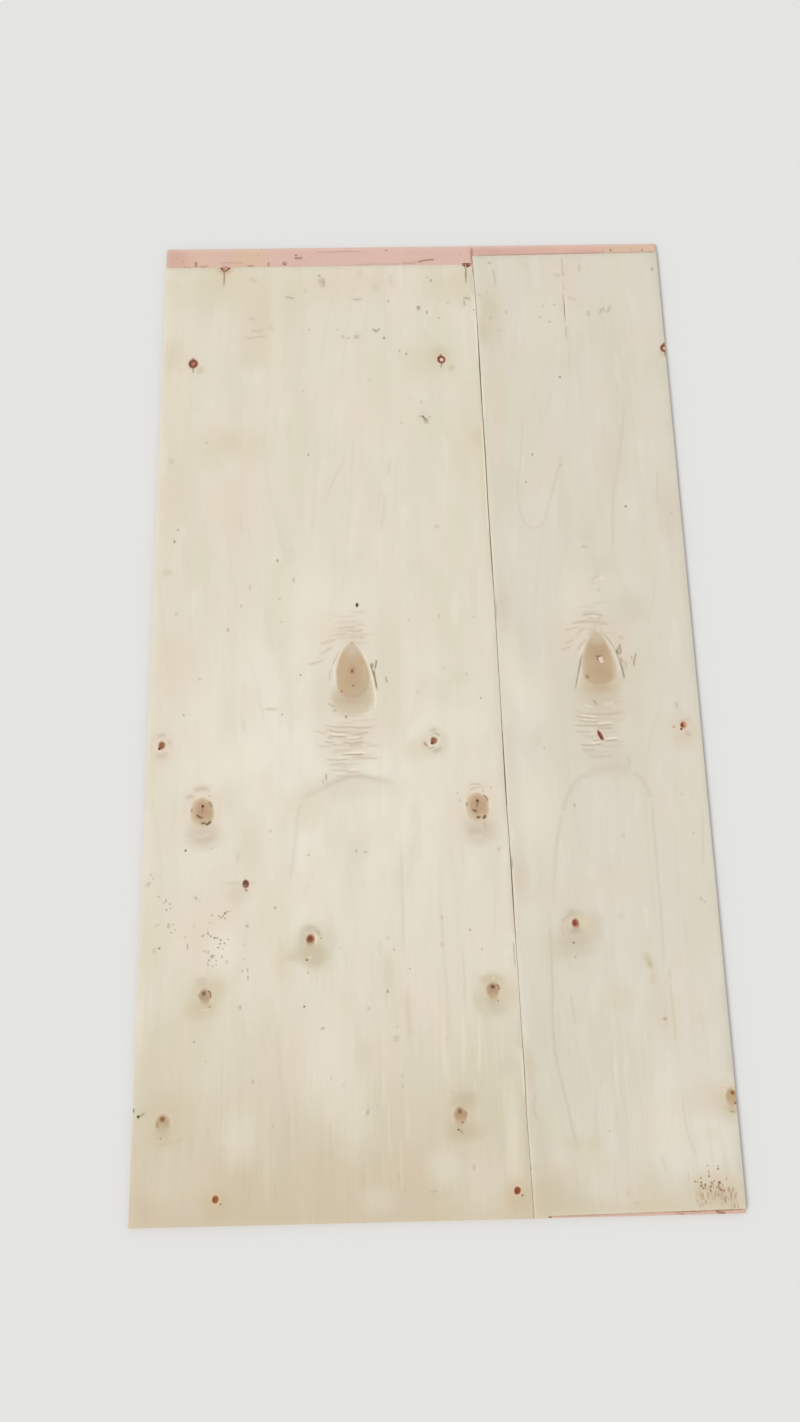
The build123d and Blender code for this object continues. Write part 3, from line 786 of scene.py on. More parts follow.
right_heart = [
    *heart_ground(389, 18, -20),
    *clouds(dull, [(389, 0, 200, 300, 214), (470, 150, 60, 70, 207), (400, -190, 120, 60, 211)]),
    *clouds(rosy, [(325, 85, 70, 90, 224), (440, 80, 50, 90, 221)]),
    *fold_field(389, -120, 150, 130, 14, 3),
    *fold_field(380, 128, 140, 70, 8, 5),
    shape([(340, -6), (338, -34), (348, -54), (386, -62), (422, -55), (433, -34), (434, -8), (390, 0)], 13.0,
          colour=(208, 193, 167), strength=0.75),
    *clouds(fawn, [(386, -62, 70, 34, 204)], strength=0.6),
    *pale_rims_and_highlight_crests([
        (5, 231, (372, 92), (361, 70), (352, 53), (347, 42), (342, 30)),
        (5, 226, (350, 32), (347, 15), (344, 0), (341, -15), (337, -33)),
        (5, 229, (402, 92), (412, 72), (419, 59), (425, 45), (429, 28), (431, 5), (431, -16))]),
    shape([
        (386, 95), (374, 84), (364, 68), (356, 46), (352, 20), (352, 0), (358, -16), (376, -24), (402, -23), (416, -14),
        (422, 2), (421, 24), (416, 45), (407, 66), (398, 83)], 5.0, colour=heart_wood, depth=0.12),
    spot(386, -32, 54, 26, soft=0.8, colour=(196, 176, 147), strength=0.85),
    spot(386, 92, 26, 26, soft=0.7, colour=(201, 185, 157), strength=0.85),
    *clouds(brown, [(388, 50, 40, 50, 178), (394, 2, 50, 36, 182)], strength=0.6),
    spot(385, 80, 30, 26, soft=0.8, colour=(203, 187, 161), strength=0.7),
    *clouds(olive, [(354, 15, 10, 50, 200), (420, 10, 10, 50, 200)], strength=0.6),
    *strokes(brown, [(5, 184, (362, -19), (384, -22), (410, -18))], strength=0.6),
    *dots(brown, [(386.5, 38.5, 7, 4.6, 116), (385, 32, 4, 6, 158)], depth=0.35),
    *strokes(brown, [
        (3.4, 158, (378, 38.5), (386, 39.5), (397, 41)), (3, 190, (372, 36), (380, 37)), (4, 158, (356, -3), (359, -7)),
        (4.4, 148, (359, -6), (363, -12))], fade=0.15, depth=0.2),
    *strokes(fawn, [
        (5, 205, (366, 80), (357, 72), (348, 61), (341, 51)), (3, 192, (402, 91), (412, 78), (421, 62), (428, 48)),
        (2.8, 176, (355, 48), (350, 38), (346.5, 28), (344, 18), (341.5, 8), (339.5, -2))], fade=0.2),
    *strokes(olive, [
        (2.3, 162, (350, 38), (343.5, 13), (340, -2), (336, -18), (330, -42)),
        (2.6, 172, (425, 55), (430, 42), (434, 27), (437, 14)),
        (3.4, 150, (434.5, 26), (438, 12), (440.5, -1), (442.5, -19))], fade=0.15, fade_end=0.3, depth=0.38),
    *strokes(olive, [
        (2.8, 150, (437, 68), (437.5, 56), (438, 48), (434, 42)), (3, 160, (434, 61), (431.5, 52), (428, 44)),
        (3, 164, (430, 56), (432, 48), (434, 40))], fade=0.15, depth=0.3),
    *dots(olive, [(429, 48.5, 4.6, 8.6, 156), (461, 34, 2.8, 13, 188)], depth=0.2),
    *strokes(olive, [(3, 164, (472, 46), (467, 31), (464, 14)), (2.8, 170, (369, -60), (373, -66), (377, -71))],
             fade=0.15, depth=0.3),
    *strokes(rosy, [(4, 176, (437, 38), (438, 30), (441, 20)), (5, 205, (446, 30), (447, 6))]),
    # Folds round the heart: dips with painted shade on their low sides, rises with painted highlights on their high
    # sides
    *painted_shade_troughs([
        (5, 196, (352, 134), (378, 138), (408, 133)), (3.4, 203, (366, 128), (384, 128), (402, 127)),
        (6, 200, (324, 112), (350, 119), (384, 120), (422, 113)), (3.6, 200, (316, 101), (330, 104), (346, 110)),
        (4.4, 204, (312, 71), (325, 74), (337, 80)), (4.4, 204, (302, 56), (318, 58), (332, 66)),
        (4, 207, (340, 86), (350, 98), (362, 105)), (5, 204, (432, 82), (442, 82), (451, 79)),
        (4, 196, (321, -82), (340, -88), (362, -92), (400, -93), (446, -88)),
        (2.8, 182, (326, -95), (350, -100), (382, -103)), (2.8, 188, (330, -105), (356, -108.5), (384, -110)),
        (3, 188, (316, -116), (350, -118), (384, -119), (418, -116)), (3, 194, (370, -124), (392, -124.5), (410, -123)),
        (3.4, 200, (320, -129), (345, -132.5), (368, -132)), (2.8, 172, (387, -152.5), (402, -151.5), (421, -151)),
        (2.8, 180, (361, -152.5), (369, -152), (378, -151)), (3, 188, (330, -160), (352, -162), (390, -160)),
        (3, 206, (336, -141), (360, -142), (384, -140)), (4, 200, (334, -171), (353, -172), (372, -171)),
        (4, 205, (350, -187), (380, -188), (408, -187)), (3, 208, (402, -104), (420, -106), (440, -103))]),
    *pale_rims_and_highlight_crests([
        (4.4, 232, (376, 132.5), (386, 133), (396, 131)), (3.4, 228, (348, -71), (360, -75), (372, -77.5)),
        (4.4, 224, (388, -73), (401, -70), (416, -66)), (3.4, 233, (336, -93), (358, -97), (381, -99)),
        (3, 229, (338, -104), (360, -105.5), (378, -106.5)), (3.4, 234, (372, -114), (392, -113), (411, -110)),
        (3.6, 242, (387, -149), (402, -147.5), (421, -148.5)), (3.4, 239, (356, -158.5), (367, -156), (378, -154.5)),
        (3.4, 231, (365, -146), (372, -146.5)), (5, 227, (392, 107), (390, 100), (396, 95)),
        (4, 229, (326, 106), (338, 112), (352, 114))]),
    spot(380, -140, 14, 31, soft=0.3, lean=27, colour=(226, 196, 176), strength=0.8, step=1.3),
    spot(380, -140.5, 9, 25, soft=0.2, lean=27, colour=ruddy(118), step=0.8),
    spot(382.5, -145, 5, 10, soft=0.5, lean=27, colour=(146, 92, 72), strength=0.7, step=0.8),
    *strokes(dull, [
        (20, 207, (346, -219), (395, -214), (444, -219)),
        (9, 204, (356, -222), (330, -234), (310, -254), (300, -272), (286, -310)),
        (9, 204, (440, -222), (458, -234), (470, -254), (479, -284)),
        (7, 208, (288, -302), (272, -370), (264, -430), (255, -505)),
        (5, 204, (480, -280), (480, -400), (480, -500), (478, -640))], fade=0.12, strength=0.55),
    *strokes(dull, [(3, 202, (436, -186), (438, -200), (441, -213))]),
]

right_marks = [
    *clouds(tan, [
        (182, 900, 60, 170, 208), (166, 860, 22, 50, 204), (187, 925, 30, 44, 206), (195, 700, 40, 160, 216),
        (316, -962, 30, 30, 214), (206, -985, 44, 170, 203), (215, -1060, 60, 90, 202), (270, -1085, 120, 40, 205),
        (275, -965, 60, 30, 210), (192, -820, 22, 60, 203), (585, -905, 30, 40, 214), (560, -1085, 70, 24, 210),
        (395, -525, 10, 8, 209), (380, -690, 60, 40, 215), (430, -1085, 160, 26, 212)]),
    *clouds(rosy, [
        (365, 1040, 90, 80, 222), (182, 165, 34, 90, 211), (188, -442, 34, 90, 213), (192, -880, 24, 110, 213),
        (470, -730, 40, 80, 219), (455, -652, 24, 44, 219), (565, -888, 60, 60, 221), (565, -152, 60, 50, 221),
        (340, -550, 36, 60, 205), (450, 520, 60, 150, 216), (572, 380, 50, 140, 213), (188, 600, 30, 260, 224),
        (372, 960, 60, 120, 223), (240, -1030, 60, 60, 216)]),
    *clouds(moss, [
        (420, 255, 50, 44, 206), (382, 325, 24, 30, 208), (446, -580, 30, 30, 211), (545, -735, 24, 18, 208),
        (390, -712, 50, 24, 212), (545, -955, 40, 30, 214), (250, 640, 80, 260, 215), (430, 330, 80, 200, 215),
        (240, -620, 60, 160, 213), (235, -900, 50, 120, 211), (585, -925, 30, 22, 207), (300, -620, 60, 40, 211),
        (560, -330, 60, 200, 214)]),
    *clouds(milky, [
        (230, -55, 80, 130, 234), (235, -300, 90, 190, 234), (340, 150, 70, 150, 233), (320, 880, 110, 160, 226),
        (190, 20, 40, 120, 232), (210, -520, 40, 60, 226), (570, -380, 50, 400, 222)]),
    *clouds(cream, [(450, -930, 120, 120, 226), (540, -885, 80, 60, 212)]),
    *clouds(tan, [
        (235, -1060, 90, 70, 203), (265, -585, 50, 60, 207), (395, -80, 120, 80, 207), (452, 10, 50, 70, 212),
        (560, -130, 60, 60, 208), (300, -1000, 80, 60, 214), (530, -1050, 90, 50, 211)]),
    *right_heart,

    # Knot cut by the right edge near the back, and the small sound knot
    *ring_knot(598, 808, 20, 22, ruddy(126), (216, 174, 152), 9, (-8, -18)),
    spot(562, -122, 34, 40, soft=0.4, colour=rosy(223), strength=0.8),
    spot(562, -121, 13, 15, colour=(176, 118, 80), depth=0.12),
    spot(567, -119, 6, 8, soft=0.6, colour=(204, 162, 132), strength=0.8),
    spot(559, -121, 6.4, 10, colour=ruddy(118), depth=0.12),
    spot(557, -130, 5.4, 5.4, colour=ruddy(114)),
    *strokes(dull, [
        (4, 200, (570, -108), (577, -111)), (10, 200, (562, -140), (570, -141), (578, -139)),
        (5, 197, (551, -66), (551, -84))]),
    *dots(ruddy, [(541, -125, 5.4, 4.4, 190)]),

    # Sound knots of the front half
    *sound_knot(301, -540, (16, 22), (176, 116, 88), (299.5, -538.5, 9, 14), (132, 66, 44), 30),
    *clouds(dull, [
        (294, -518, 18, 14, 199), (300, -556, 24, 14, 190), (285, -576, 40, 18, 201), (300, -592, 70, 26, 206),
        (310, -572, 34, 24, 203), (276, -556, 14, 26, 209)], strength=0.85),
    *strokes(dull, [(4.4, 198, (271, -537), (279, -529), (291, -521))]),
    *strokes(rosy, [(3, 208, (276, -530), (271, -545), (276, -562), (290, -573), (310, -576))], strength=0.7),
    *clouds(tan, [(320, -537, 16, 20, 219)], strength=0.8),
    *dots(olive, [(294.5, -579, 4.2, 4.2, 130), (297, -608, 3.4, 6.4, 194)]),
    *sound_knot(591, -885, (23, 34), (187, 162, 124), (594, -877, 8.6, 9), (146, 98, 66), 26),
    *strokes(olive, [(4, 92, (595, -897), (600, -898)), (3.4, 176, (585, -912), (596, -914))], fade=0.1),
    *strokes(cream, [(3, 226, (573, -860), (582, -862), (588, -868)), (3, 225, (570, -868), (578, -870), (583, -878))]),

    # Elongated stain in the front half, and other stray marks from the back to the front
    *strokes(tan, [(13, 206, (437, -596), (444, -610), (449, -624), (450, -638)), (9, 212, (452, -640), (454, -668))]),
    *strokes(olive, [(6, 198, (448, -618), (450, -634)), (5, 213, (486, -640), (488, -720), (489, -800))]),
    spot(471.5, -733, 9, 6.4, colour=olive(190)),
    spot(471, -742, 11, 9, soft=0.6, colour=rosy(220)),
    *dots(pale_dull, [
        (188, 1050, 11, 8, 190), (178, 965, 5, 5, 198), (223, 912, 6, 12, 197), (205, 862, 12, 10, 204),
        (407, 1032, 8, 24, 199), (586, 1027, 6, 12, 176), (422, 905, 9, 16, 195), (305, 897, 6, 5, 192),
        (313, 928, 5, 5, 193), (340, 930, 6, 5, 190), (327, 884, 6, 5, 188), (353, 1014, 17, 11, 204),
        (267, 533, 6, 8, 178), (248, 462, 5, 5, 178), (475, 397.5, 6, 6, 153), (343, 734, 6, 6, 158),
        (331, 503, 8, 6, 192), (325, 490, 5, 5, 196), (398, 194, 6, 6, 198), (373, 300, 16, 9, 201),
        (563, -356, 5, 5, 198), (545, -272, 5, 5, 198), (413, -359, 9, 11, 204), (256, -167, 5, 7, 198),
        (566, -494, 8, 9, 200), (573, -501, 6, 5, 198), (343, -944, 4.4, 6.4, 200), (387, -1077, 13, 7, 198),
        (370, -1060, 6, 14, 203), (183, -1009, 4.6, 6.4, 160), (492, -1032, 3.6, 17, 203), (488, -645, 6, 22, 207),
        (174.5, -422, 4.6, 4.6, 122)]),
    *dots(rosy, [(579, 379, 5, 5, 204), (314, -292, 5, 9, 200)]),
    *strokes(dull, [
        (5, 203, (192, 1041), (200, 1008), (198, 974)), (5, 194, (180, 893), (190, 902)),
        (3, 200, (365.5, 1073), (366, 1045), (366.5, 1004)), (2.6, 190, (366, 1031), (367, 1022), (366.5, 1008)),
        (2.8, 202, (366, 1000), (365, 962)), (2.8, 190, (365, 878), (364.6, 855), (364, 830)),
        (6, 206, (371, 957), (384, 948), (399, 939)), (6, 195, (446, 898), (456, 918), (465, 906)),
        (6, 195, (464, 905), (472, 913), (476, 930)), (4, 206, (388, 206), (386, 218), (401, 231)),
        (4, 200, (154, 961), (166, 960)), (4, 203, (201, -860), (196, -900), (204, -930))]),
    *strokes(dull, [
        (6, 205, (492, 690), (484, 610), (474, 550), (462, 490), (450, 440), (444, 390), (440, 330), (436, 262)),
        (4, 202, (558, 496), (552, 450), (548, 390)),
        (5, 208, (250, 690), (247, 600), (240, 530), (229, 460), (230, 400), (240, 362), (262, 348), (284, 360),
         (296, 400), (312, 450), (327, 500), (344, 535), (360, 575)), (4, 203, (587, -300), (583, -360), (576, -430)),
        (5, 196, (247, -500), (247, -600), (244, -700), (243, -780), (250, -830), (262, -890), (272, -950),
         (290, -1010)), (4, 200, (282, -678), (285, -710), (288, -742)),
        (5, 207, (495, -878), (494, -912), (500, -962), (514, -1000)), (5, 207, (443, -990), (450, -1022)),
        (5, 209, (283, -560), (280, -600), (285, -640))], fade=0.15, strength=0.5),
    *strokes(cream, [
        (4.4, 231, (370, 952), (370.5, 918), (369.5, 878)), (4, 231, (328, 1030), (348, 1027), (364, 1019)),
        (5, 232, (272, 537), (273, 528)), (4, 230, (480, 402), (484, 408)), (5, 230, (343, 496), (347, 488)),
        (7, 230, (390, 218), (404, 221), (420, 223))], strength=0.8),
    *strokes(milky, [
        (6, 229, (460, -918), (461, -945)), (6, 229, (478, -915), (479, -950)), (6, 226, (362, -800), (364, -880)),
        (6, 227, (448, -500), (450, -560)), (6, 227, (470, -780), (472, -860))], strength=0.6),

    # Pale and dull rims on this side of the joint
    *along_joint(cream, [(745, 620, 3.2, 236), (345, 200, 3, 234), (-120, -330, 3, 230), (-380, -560, 3, 230)], 1, 2.4),
    *along_joint(dull, [(180, 120, 3, 196), (-395, -425, 3, 176)], 1, 1.4),
]


def rubbed_streaks(middle, half, top, length, count, seed):
    """Brown streaks along the grain near the front right corner, where something scraped the face."""
    random = np.random.default_rng(seed)
    streaks = [
        spot(546, -1060, 84, 54, soft=0.6, step=4.0, colour=tan(209), strength=0.7),
        spot(556, -1038, 46, 30, soft=0.7, step=4.0, colour=rosy(221), strength=0.6),
        spot(556, -1070, 40, 26, soft=0.7, step=4.0, colour=fawn(203), strength=0.6),
    ]
    for _ in range(count):
        x = middle + half * random.uniform(-1, 1)
        y = top - 0.3 * abs(x - 540) - random.uniform(0, length)
        course = [(x, y), (x + random.uniform(-1, 1), y - random.uniform(5, 14))]
        streaks.append(line(course, random.uniform(1.6, 2.4), fade=0.35, step=1.0,
                            colour=brown(random.uniform(174, 200)), strength=random.uniform(0.25, 0.7)))
    return streaks


right_marks += [
    *rubbed_streaks(544, 41, -1036, 36, 150, 31),
    *dots(brown, [
        (552, -1043, 6, 6, 134), (550, -1050, 4.6, 8, 168), (552.5, -1054, 4.6, 4.4, 160), (555, -1057, 4, 3.8, 140),
        (515.5, -1048, 3.8, 6.4, 150), (523.5, -1047, 3.8, 6.4, 144), (520, -1053, 4.4, 3.8, 148),
        (516, -1042, 4, 4.4, 158), (534, -1050, 4, 6, 158), (533, -1058, 4, 4.4, 150), (532.4, -1031, 4, 4.4, 164),
        (551.6, -1017.5, 4.2, 4.4, 156)], soft=0.45, step=0.8),
    *dots(lighter(brown, 8), [
        (532, -1012, 3.4, 4, 182), (551, -1012, 3.4, 4, 180), (516, -1034, 4, 4.4, 176), (504, -1040, 4, 4.4, 168),
        (509, -1041, 3, 3.4, 176), (536, -1043, 4, 4.4, 154), (542, -1040, 3.4, 4, 168), (545, -1052, 3.4, 4.4, 160),
        (560, -1058, 4.4, 4.4, 150), (566, -1036, 3, 7, 184), (570, -1056, 3.4, 9, 168), (573, -1066, 4, 12, 176),
        (578, -1055, 3.4, 9, 184), (560, -1074, 4.4, 12, 170), (533, -1024, 2.8, 9, 186), (517, -1064, 3.4, 8, 178),
        (527, -1066, 3.4, 10, 180), (541, -1066, 3.4, 9, 176), (581, -1068, 3, 8, 182),
        (558, -1048, 3, 5, 190)], soft=0.5, step=0.8),
]

# Marks of the crossband, where the face veneers leave it bare or show it through their openings

strip_marks = [
    fine_zone(0, 1075, 1200, 70, 4.0),
    *dots(as_written, [
        (-575, 1072, 80, 70, (210, 171, 154)), (-510, 1072, 80, 60, (218, 187, 165)),
        (-450, 1072, 60, 50, (217, 182, 168)), (-398, 1072, 90, 56, (217, 188, 158)),
        (-318, 1072, 80, 50, (219, 182, 171)), (-150, 1072, 260, 50, (219, 184, 172)),
        (60, 1072, 160, 50, (218, 182, 170)), (240, 1082, 150, 26, (213, 170, 155)),
        (184, 1086, 70, 20, (211, 166, 155)), (425, 1086, 110, 26, (220, 176, 161)),
        (428, 1079, 100, 11, (208, 166, 152)), (540, 1086, 150, 30, (216, 186, 156)),
        (330, 1085, 70, 26, (217, 172, 158))], soft=0.6, step=7.0, strength=0.8),
    # Painted highlight: a pale line along the strip's back edge, where the arris catches the light
    line([(-596, 1097), (-300, 1098), (0, 1098), (300, 1098), (596, 1097)], 5.0, fade=0.02, colour=(228, 200, 186),
         strength=0.7),
    *strokes(ruddy, [
        (5, 160, (-529, 1063), (-528, 1049)), (3.4, 183, (-519, 1051), (-509, 1050), (-499, 1051)),
        (3.4, 176, (-403, 1051), (-395, 1051.5), (-387, 1051)), (4, 172, (-351, 1061), (-351.5, 1049)),
        (4, 150, (-284, 1072), (-277, 1072), (-269, 1073)), (3.4, 160, (11, 1056), (32, 1061), (55, 1064)),
        (3, 188, (-30, 1054), (-8, 1054), (12, 1056)), (3.4, 190, (-560, 1050), (-540, 1049)),
        (3, 196, (-470, 1060), (-440, 1061), (-410, 1060)),
        (3, 198, (-240, 1088), (-180, 1089), (-120, 1088))], fade=0.12, depth=0.08),
    # Darker lines on the strip just behind the face veneers' back ends: painted shadow cast by the veneers' step
    *strokes(rosy, [
        (4, 196, (-142, 1051.5), (-85, 1052), (-28, 1051.5)), (4.4, 190, (150, 1072), (300, 1073.5), (480, 1075)),
        (3.6, 200, (470, 1075), (540, 1076), (600, 1076.5))], fade=0.05),
    line([(148, 1071.5), (300, 1073), (480, 1074.5)], 4.0, fade=0.04, colour=(186, 140, 124)),
    line([(480, 1074.5), (600, 1076)], 4.0, fade=0.04, colour=(186, 140, 124), strength=0.5),
    *dots(ruddy, [
        (-284, 1080, 6, 5, 166), (-283, 1072, 8, 5.4, 158), (-64, 1089.5, 8.4, 5, 190), (488, 1083, 6, 6, 172),
        (469, 1084, 4.4, 4.4, 190), (566, 1083, 5, 5, 174), (586, 1076, 7, 5.4, 168), (538, 1085, 4.4, 4.4, 196),
        (-250, 1077, 4, 4, 196), (-225, 1068, 4, 4, 196), (-378, 1082, 4, 4, 192), (132, 1050, 22, 5, 138),
        (-560, 1066, 5, 4, 190), (118, 1080, 4, 4, 196)], depth=0.05),
    spot(-312, 1057, 11, 10.4, soft=0.25, step=0.8, colour=ruddy(158)),
    spot(-311.5, 1057.5, 5.4, 5, soft=0.4, step=0.8, colour=(204, 168, 144)),

    # What the joint, the splits, the knot hole and the bark slit show
    *along_joint(ruddy, [(1100, 1040, 5.4, 172), (1045, 1012, 5.4, 186)]),
    *along_joint(olive, [
        (1000, 885, 5.4, 176), (895, 830, 5.4, 138), (850, 680, 6, 108), (700, 560, 5.4, 128), (575, 200, 5.4, 130),
        (215, 90, 5.4, 178), (115, -125, 5.4, 162), (-120, -300, 5.6, 118), (-290, -375, 5.4, 150),
        (-370, -520, 5.4, 124), (-505, -570, 5, 158), (-560, -775, 4.4, 194), (-765, -905, 4.6, 170),
        (-895, -1100, 4.6, 196)]),
    *strokes(olive, [(5, 92, (364.6, 964), (365, 920), (365, 876))], fade=0.05),
    spot(393, 30, 18, 22, soft=0.3, step=1.3, colour=(232, 207, 188)),
    spot(380, -140, 16, 32, soft=0.5, step=1.3, colour=(116, 60, 44)),
    spot(-457, 1043, 18, 18, soft=0.5, step=1.3, colour=(196, 148, 126), strength=0.9),

    # Bared end at the front
    fine_zone(410, -1096, 390, 14, 2.2),
    spot(410, -1096, 400, 12, soft=0.3, step=4.0, colour=(209, 178, 161), strength=0.8),
    *strokes(ruddy, [
        (3, 158, (430, -1093), (520, -1092.6), (600, -1091.4)),
        (2.4, 188, (214, -1096.5), (320, -1095.4), (440, -1093.6)),
        (3.4, 146, (540, -1093.6), (549, -1097), (560, -1099.4)),
        (3.4, 172, (462, -1095), (470, -1097), (478, -1099))], fade=0.08, depth=0.05),
    *dots(ruddy, [(217, -1098, 6, 4, 156), (549, -1096.6, 12, 4.4, 168), (470, -1097, 12, 4, 192)]),
]

# Knots that the grain bends round: place and radius

left_knots = [
    (-157, 10, 46), (-527, 784, 12), (62, 785, 12), (-456, 1048, 14), (134, 1050, 13), (-570, -145, 11), (17, -145, 10),
    (-478, -290, 27), (107, -286, 27), (-384, -446, 9), (-249, -562, 18), (-463, -667, 16), (123, -664, 16),
    (-540, -909, 24), (49, -908, 20), (-432, -1052, 8), (154, -1050, 8),
]
right_knots = [(389, 28, 46), (598, 806, 12), (560, -121, 9), (300, -542, 18), (594, -880, 15), (62, 785, 12)]
knot_stretch = 2.4


# Worn edges of the plies


def resampled(loop, step):
    """The loop with its long sides divided."""
    points = []
    for start, end in zip(loop, np.roll(loop, -1, axis=0)):
        parts = max(1, math.ceil(np.hypot(*(end - start)) / step))
        points += [start + (end - start) * part / parts for part in range(parts)]
    return np.array(points)


def inward(loop):
    """Direction from each point of a loop into the wood."""
    ahead = np.roll(loop, -1, axis=0) - loop
    ahead /= np.hypot(*ahead.T)[:, None]
    normals = np.column_stack([-ahead[:, 1], ahead[:, 0]])
    both = normals + np.roll(normals, 1, axis=0)
    length = np.hypot(*both.T)[:, None]
    return both / np.maximum(length * length / 2, corner_limit)


def fray_depth(loop, rough):
    """How far the rim is worn back from its outline in mm: little where sawn, more where torn."""
    x, y = loop.T
    half_width, half_length = cad_high[0] / MM, cad_high[1] / MM
    sawn = (np.abs(x) > half_width - outline_gap) | (np.abs(y) > half_length - outline_gap)
    sawn |= (x > half_width - worn_corner) & (y < worn_corner - half_length)
    torn = (y > half_length - torn_back) | (y < torn_front - half_length)
    amount = np.where(sawn, sawn_roughness, np.where(torn, torn_roughness, joint_roughness)) * rough
    noise = 0.45 * wander(x, y, 2.6, 6.0) + 0.35 * wander(x, y, 7.0, 3.0) + 0.2 * wander(x, y, 26.0)
    return amount * np.clip(0.5 + noise, 0.0, 1.0)


# Mesh of a ply


class Raster:
    """Cells over the sheet that already hold a point, each known by one number."""

    stride = 100003
    corners = 0.4 * np.array([(-1, -1), (1, -1), (-1, 1), (1, 1)])

    def __init__(self, cell):
        self.cell = cell
        self.taken = set()

    def keys(self, points):
        """Number of each point's cell."""
        cells = np.floor(points / self.cell).astype(int)
        return cells[:, 0] * self.stride + cells[:, 1]

    def fill(self, points):
        self.taken.update(self.keys(points).tolist())

    def free(self, points):
        """Which points have no taken cell about them."""
        held = np.array(sorted(self.taken))
        near = np.zeros(len(points), dtype=bool)
        for corner in self.corners:
            near |= np.isin(self.keys(points + corner * self.cell), held)
        return ~near


def lattice(box, step):
    """Rows of points of a triangular lattice within a box, the same lattice for every box."""
    low_x, low_y, high_x, high_y = box
    row_step = step * math.sqrt(0.75)
    rows = np.arange(math.ceil(low_y / row_step), math.floor(high_y / row_step) + 1)
    columns = np.arange(math.ceil(low_x / step) - 1, math.floor(high_x / step) + 1)
    column, row = np.meshgrid(columns, rows)
    return np.dstack([(column + (row & 1) / 2) * step, row * row_step])


def grown(cells):
    """The marked cells of a grid, with the cells round each."""
    rows, columns = cells.shape
    wide = np.pad(cells, 1)
    return np.any([wide[i : i + rows, j : j + columns] for i in range(3) for j in range(3)], axis=0)


def inner_points(rim, marks, low, high):
    """Mesh points within the rim, close together on the marks and far apart on plain wood."""
    chosen = [rim]
    wanted = {step: [] for step in mesh_steps}
    for mark in marks:
        step = max((size for size in mesh_steps if size <= mark.step), default=mesh_steps[0])
        margin = shake_reach + step
        box = np.clip(np.array(mark.box) + (-margin, -margin, margin, margin), np.tile(low, 2), np.tile(high, 2))
        points = lattice(box, step)
        if points.size:
            cells = mark.level(*shaken(points[..., 0], points[..., 1])) > least_level
            wanted[step].append(points[grown(cells) if mark.crisp and step < mesh_steps[2] else cells])
    wanted[mesh_steps[-1]].append(lattice((*low, *high), mesh_steps[-1]).reshape(-1, 2))
    for step in mesh_steps:
        if not wanted[step]:
            continue
        points = np.unique(np.round(np.vstack(wanted[step]), 4), axis=0)
        inside = np.all((points > low + edge_gap) & (points < high - edge_gap), axis=1)
        raster = Raster(max(step, least_cell))
        for others in chosen:
            raster.fill(others)
        points = points[inside]
        chosen.append(points[raster.free(points)])
    return np.vstack(chosen[1:])


def triangulate(loops, points):
    """Triangles over what the loops enclose: their places, their corners and the loop points' numbers."""
    rim = np.vstack(loops)
    edges = []
    start = 0
    for loop in loops:
        numbers = np.arange(start, start + len(loop))
        edges += list(zip(numbers.tolist(), np.roll(numbers, -1).tolist()))
        start += len(loop)
    everything = np.vstack([rim, points]) if len(points) else rim
    places, _, faces, origins, _, _ = delaunay_2d_cdt([Vector(p) for p in everything], edges, [], 1, 1e-7, True)
    of_rim = np.full(len(rim), -1)
    for number, origin in enumerate(origins):
        for source in origin:
            if source < len(rim):
                of_rim[source] = number
    places = np.array([tuple(place) for place in places])
    faces = np.array(faces)
    middles = places[faces].mean(axis=1)
    keep = within(loops[0], middles)
    for hole in loops[1:]:
        keep &= ~within(hole, middles)
    used, faces = np.unique(faces[keep], return_inverse=True)
    numbers = np.full(len(places), -1)
    numbers[used] = np.arange(len(used))
    return places[used], faces.reshape(-1, 3), numbers[of_rim]


def within(loop, points):
    """Which points a loop encloses."""
    inside = np.zeros(len(points), dtype=bool)
    near = np.all((points > loop.min(axis=0)) & (points < loop.max(axis=0)), axis=1)
    px, py = points[near].T
    found = np.zeros(px.shape, dtype=bool)
    for (x0, y0), (x1, y1) in zip(loop, np.roll(loop, -1, axis=0)):
        if y0 != y1:
            found ^= ((y0 > py) != (y1 > py)) & (px < x0 + (py - y0) * (x1 - x0) / (y1 - y0))
    inside[near] = found
    return inside


def shaken(x, y):
    """Places moved a little, so that no mark has a perfect outline."""
    return (x + 0.4 * wander(x, y, 6.0) + 0.8 * wander(x, y, 19.0),
            y + 0.4 * wander(y, x, 5.0) + 0.8 * wander(y, x, 23.0))


def laid_marks(marks, x, y):
    """Colour and cover that the marks lay on the points, the colour already times its cover, and their depth."""
    shaken_x, shaken_y = shaken(x, y)
    colour = np.zeros((len(x), 3))
    cover = np.zeros(len(x))
    depth = np.zeros(len(x))
    for mark in marks:
        low_x, low_y, high_x, high_y = mark.box
        near = np.flatnonzero((x > low_x - shake_reach) & (x < high_x + shake_reach)
                              & (y > low_y - shake_reach) & (y < high_y + shake_reach))
        if not len(near):
            continue
        level = mark.level(shaken_x[near], shaken_y[near])
        depth[near] += level * mark.depth
        if mark.colour:
            share = level * mark.strength
            colour[near] = colour[near] * (1 - share)[:, None] + np.outer(share, linear(mark.colour)[:3])
            cover[near] = cover[near] * (1 - share) + share
    return colour, cover, depth


def plain_depth(x, y):
    """Depth in mm of the unevenness that all the wood has."""
    return 0.03 + 0.02 * wander(x, y, 45.0, 4.0) + 0.012 * wander(x, y, 15.0, 6.0)


def bent_grain(x, y, knots):
    """Place across the grain in mm, with the grain bent round the knots."""
    across = x.copy()
    for knot_x, knot_y, radius in knots:
        dx, dy = x - knot_x, (y - knot_y) / knot_stretch
        across -= radius * radius * dx / (dx * dx + dy * dy + radius * radius * 0.5)
    return across


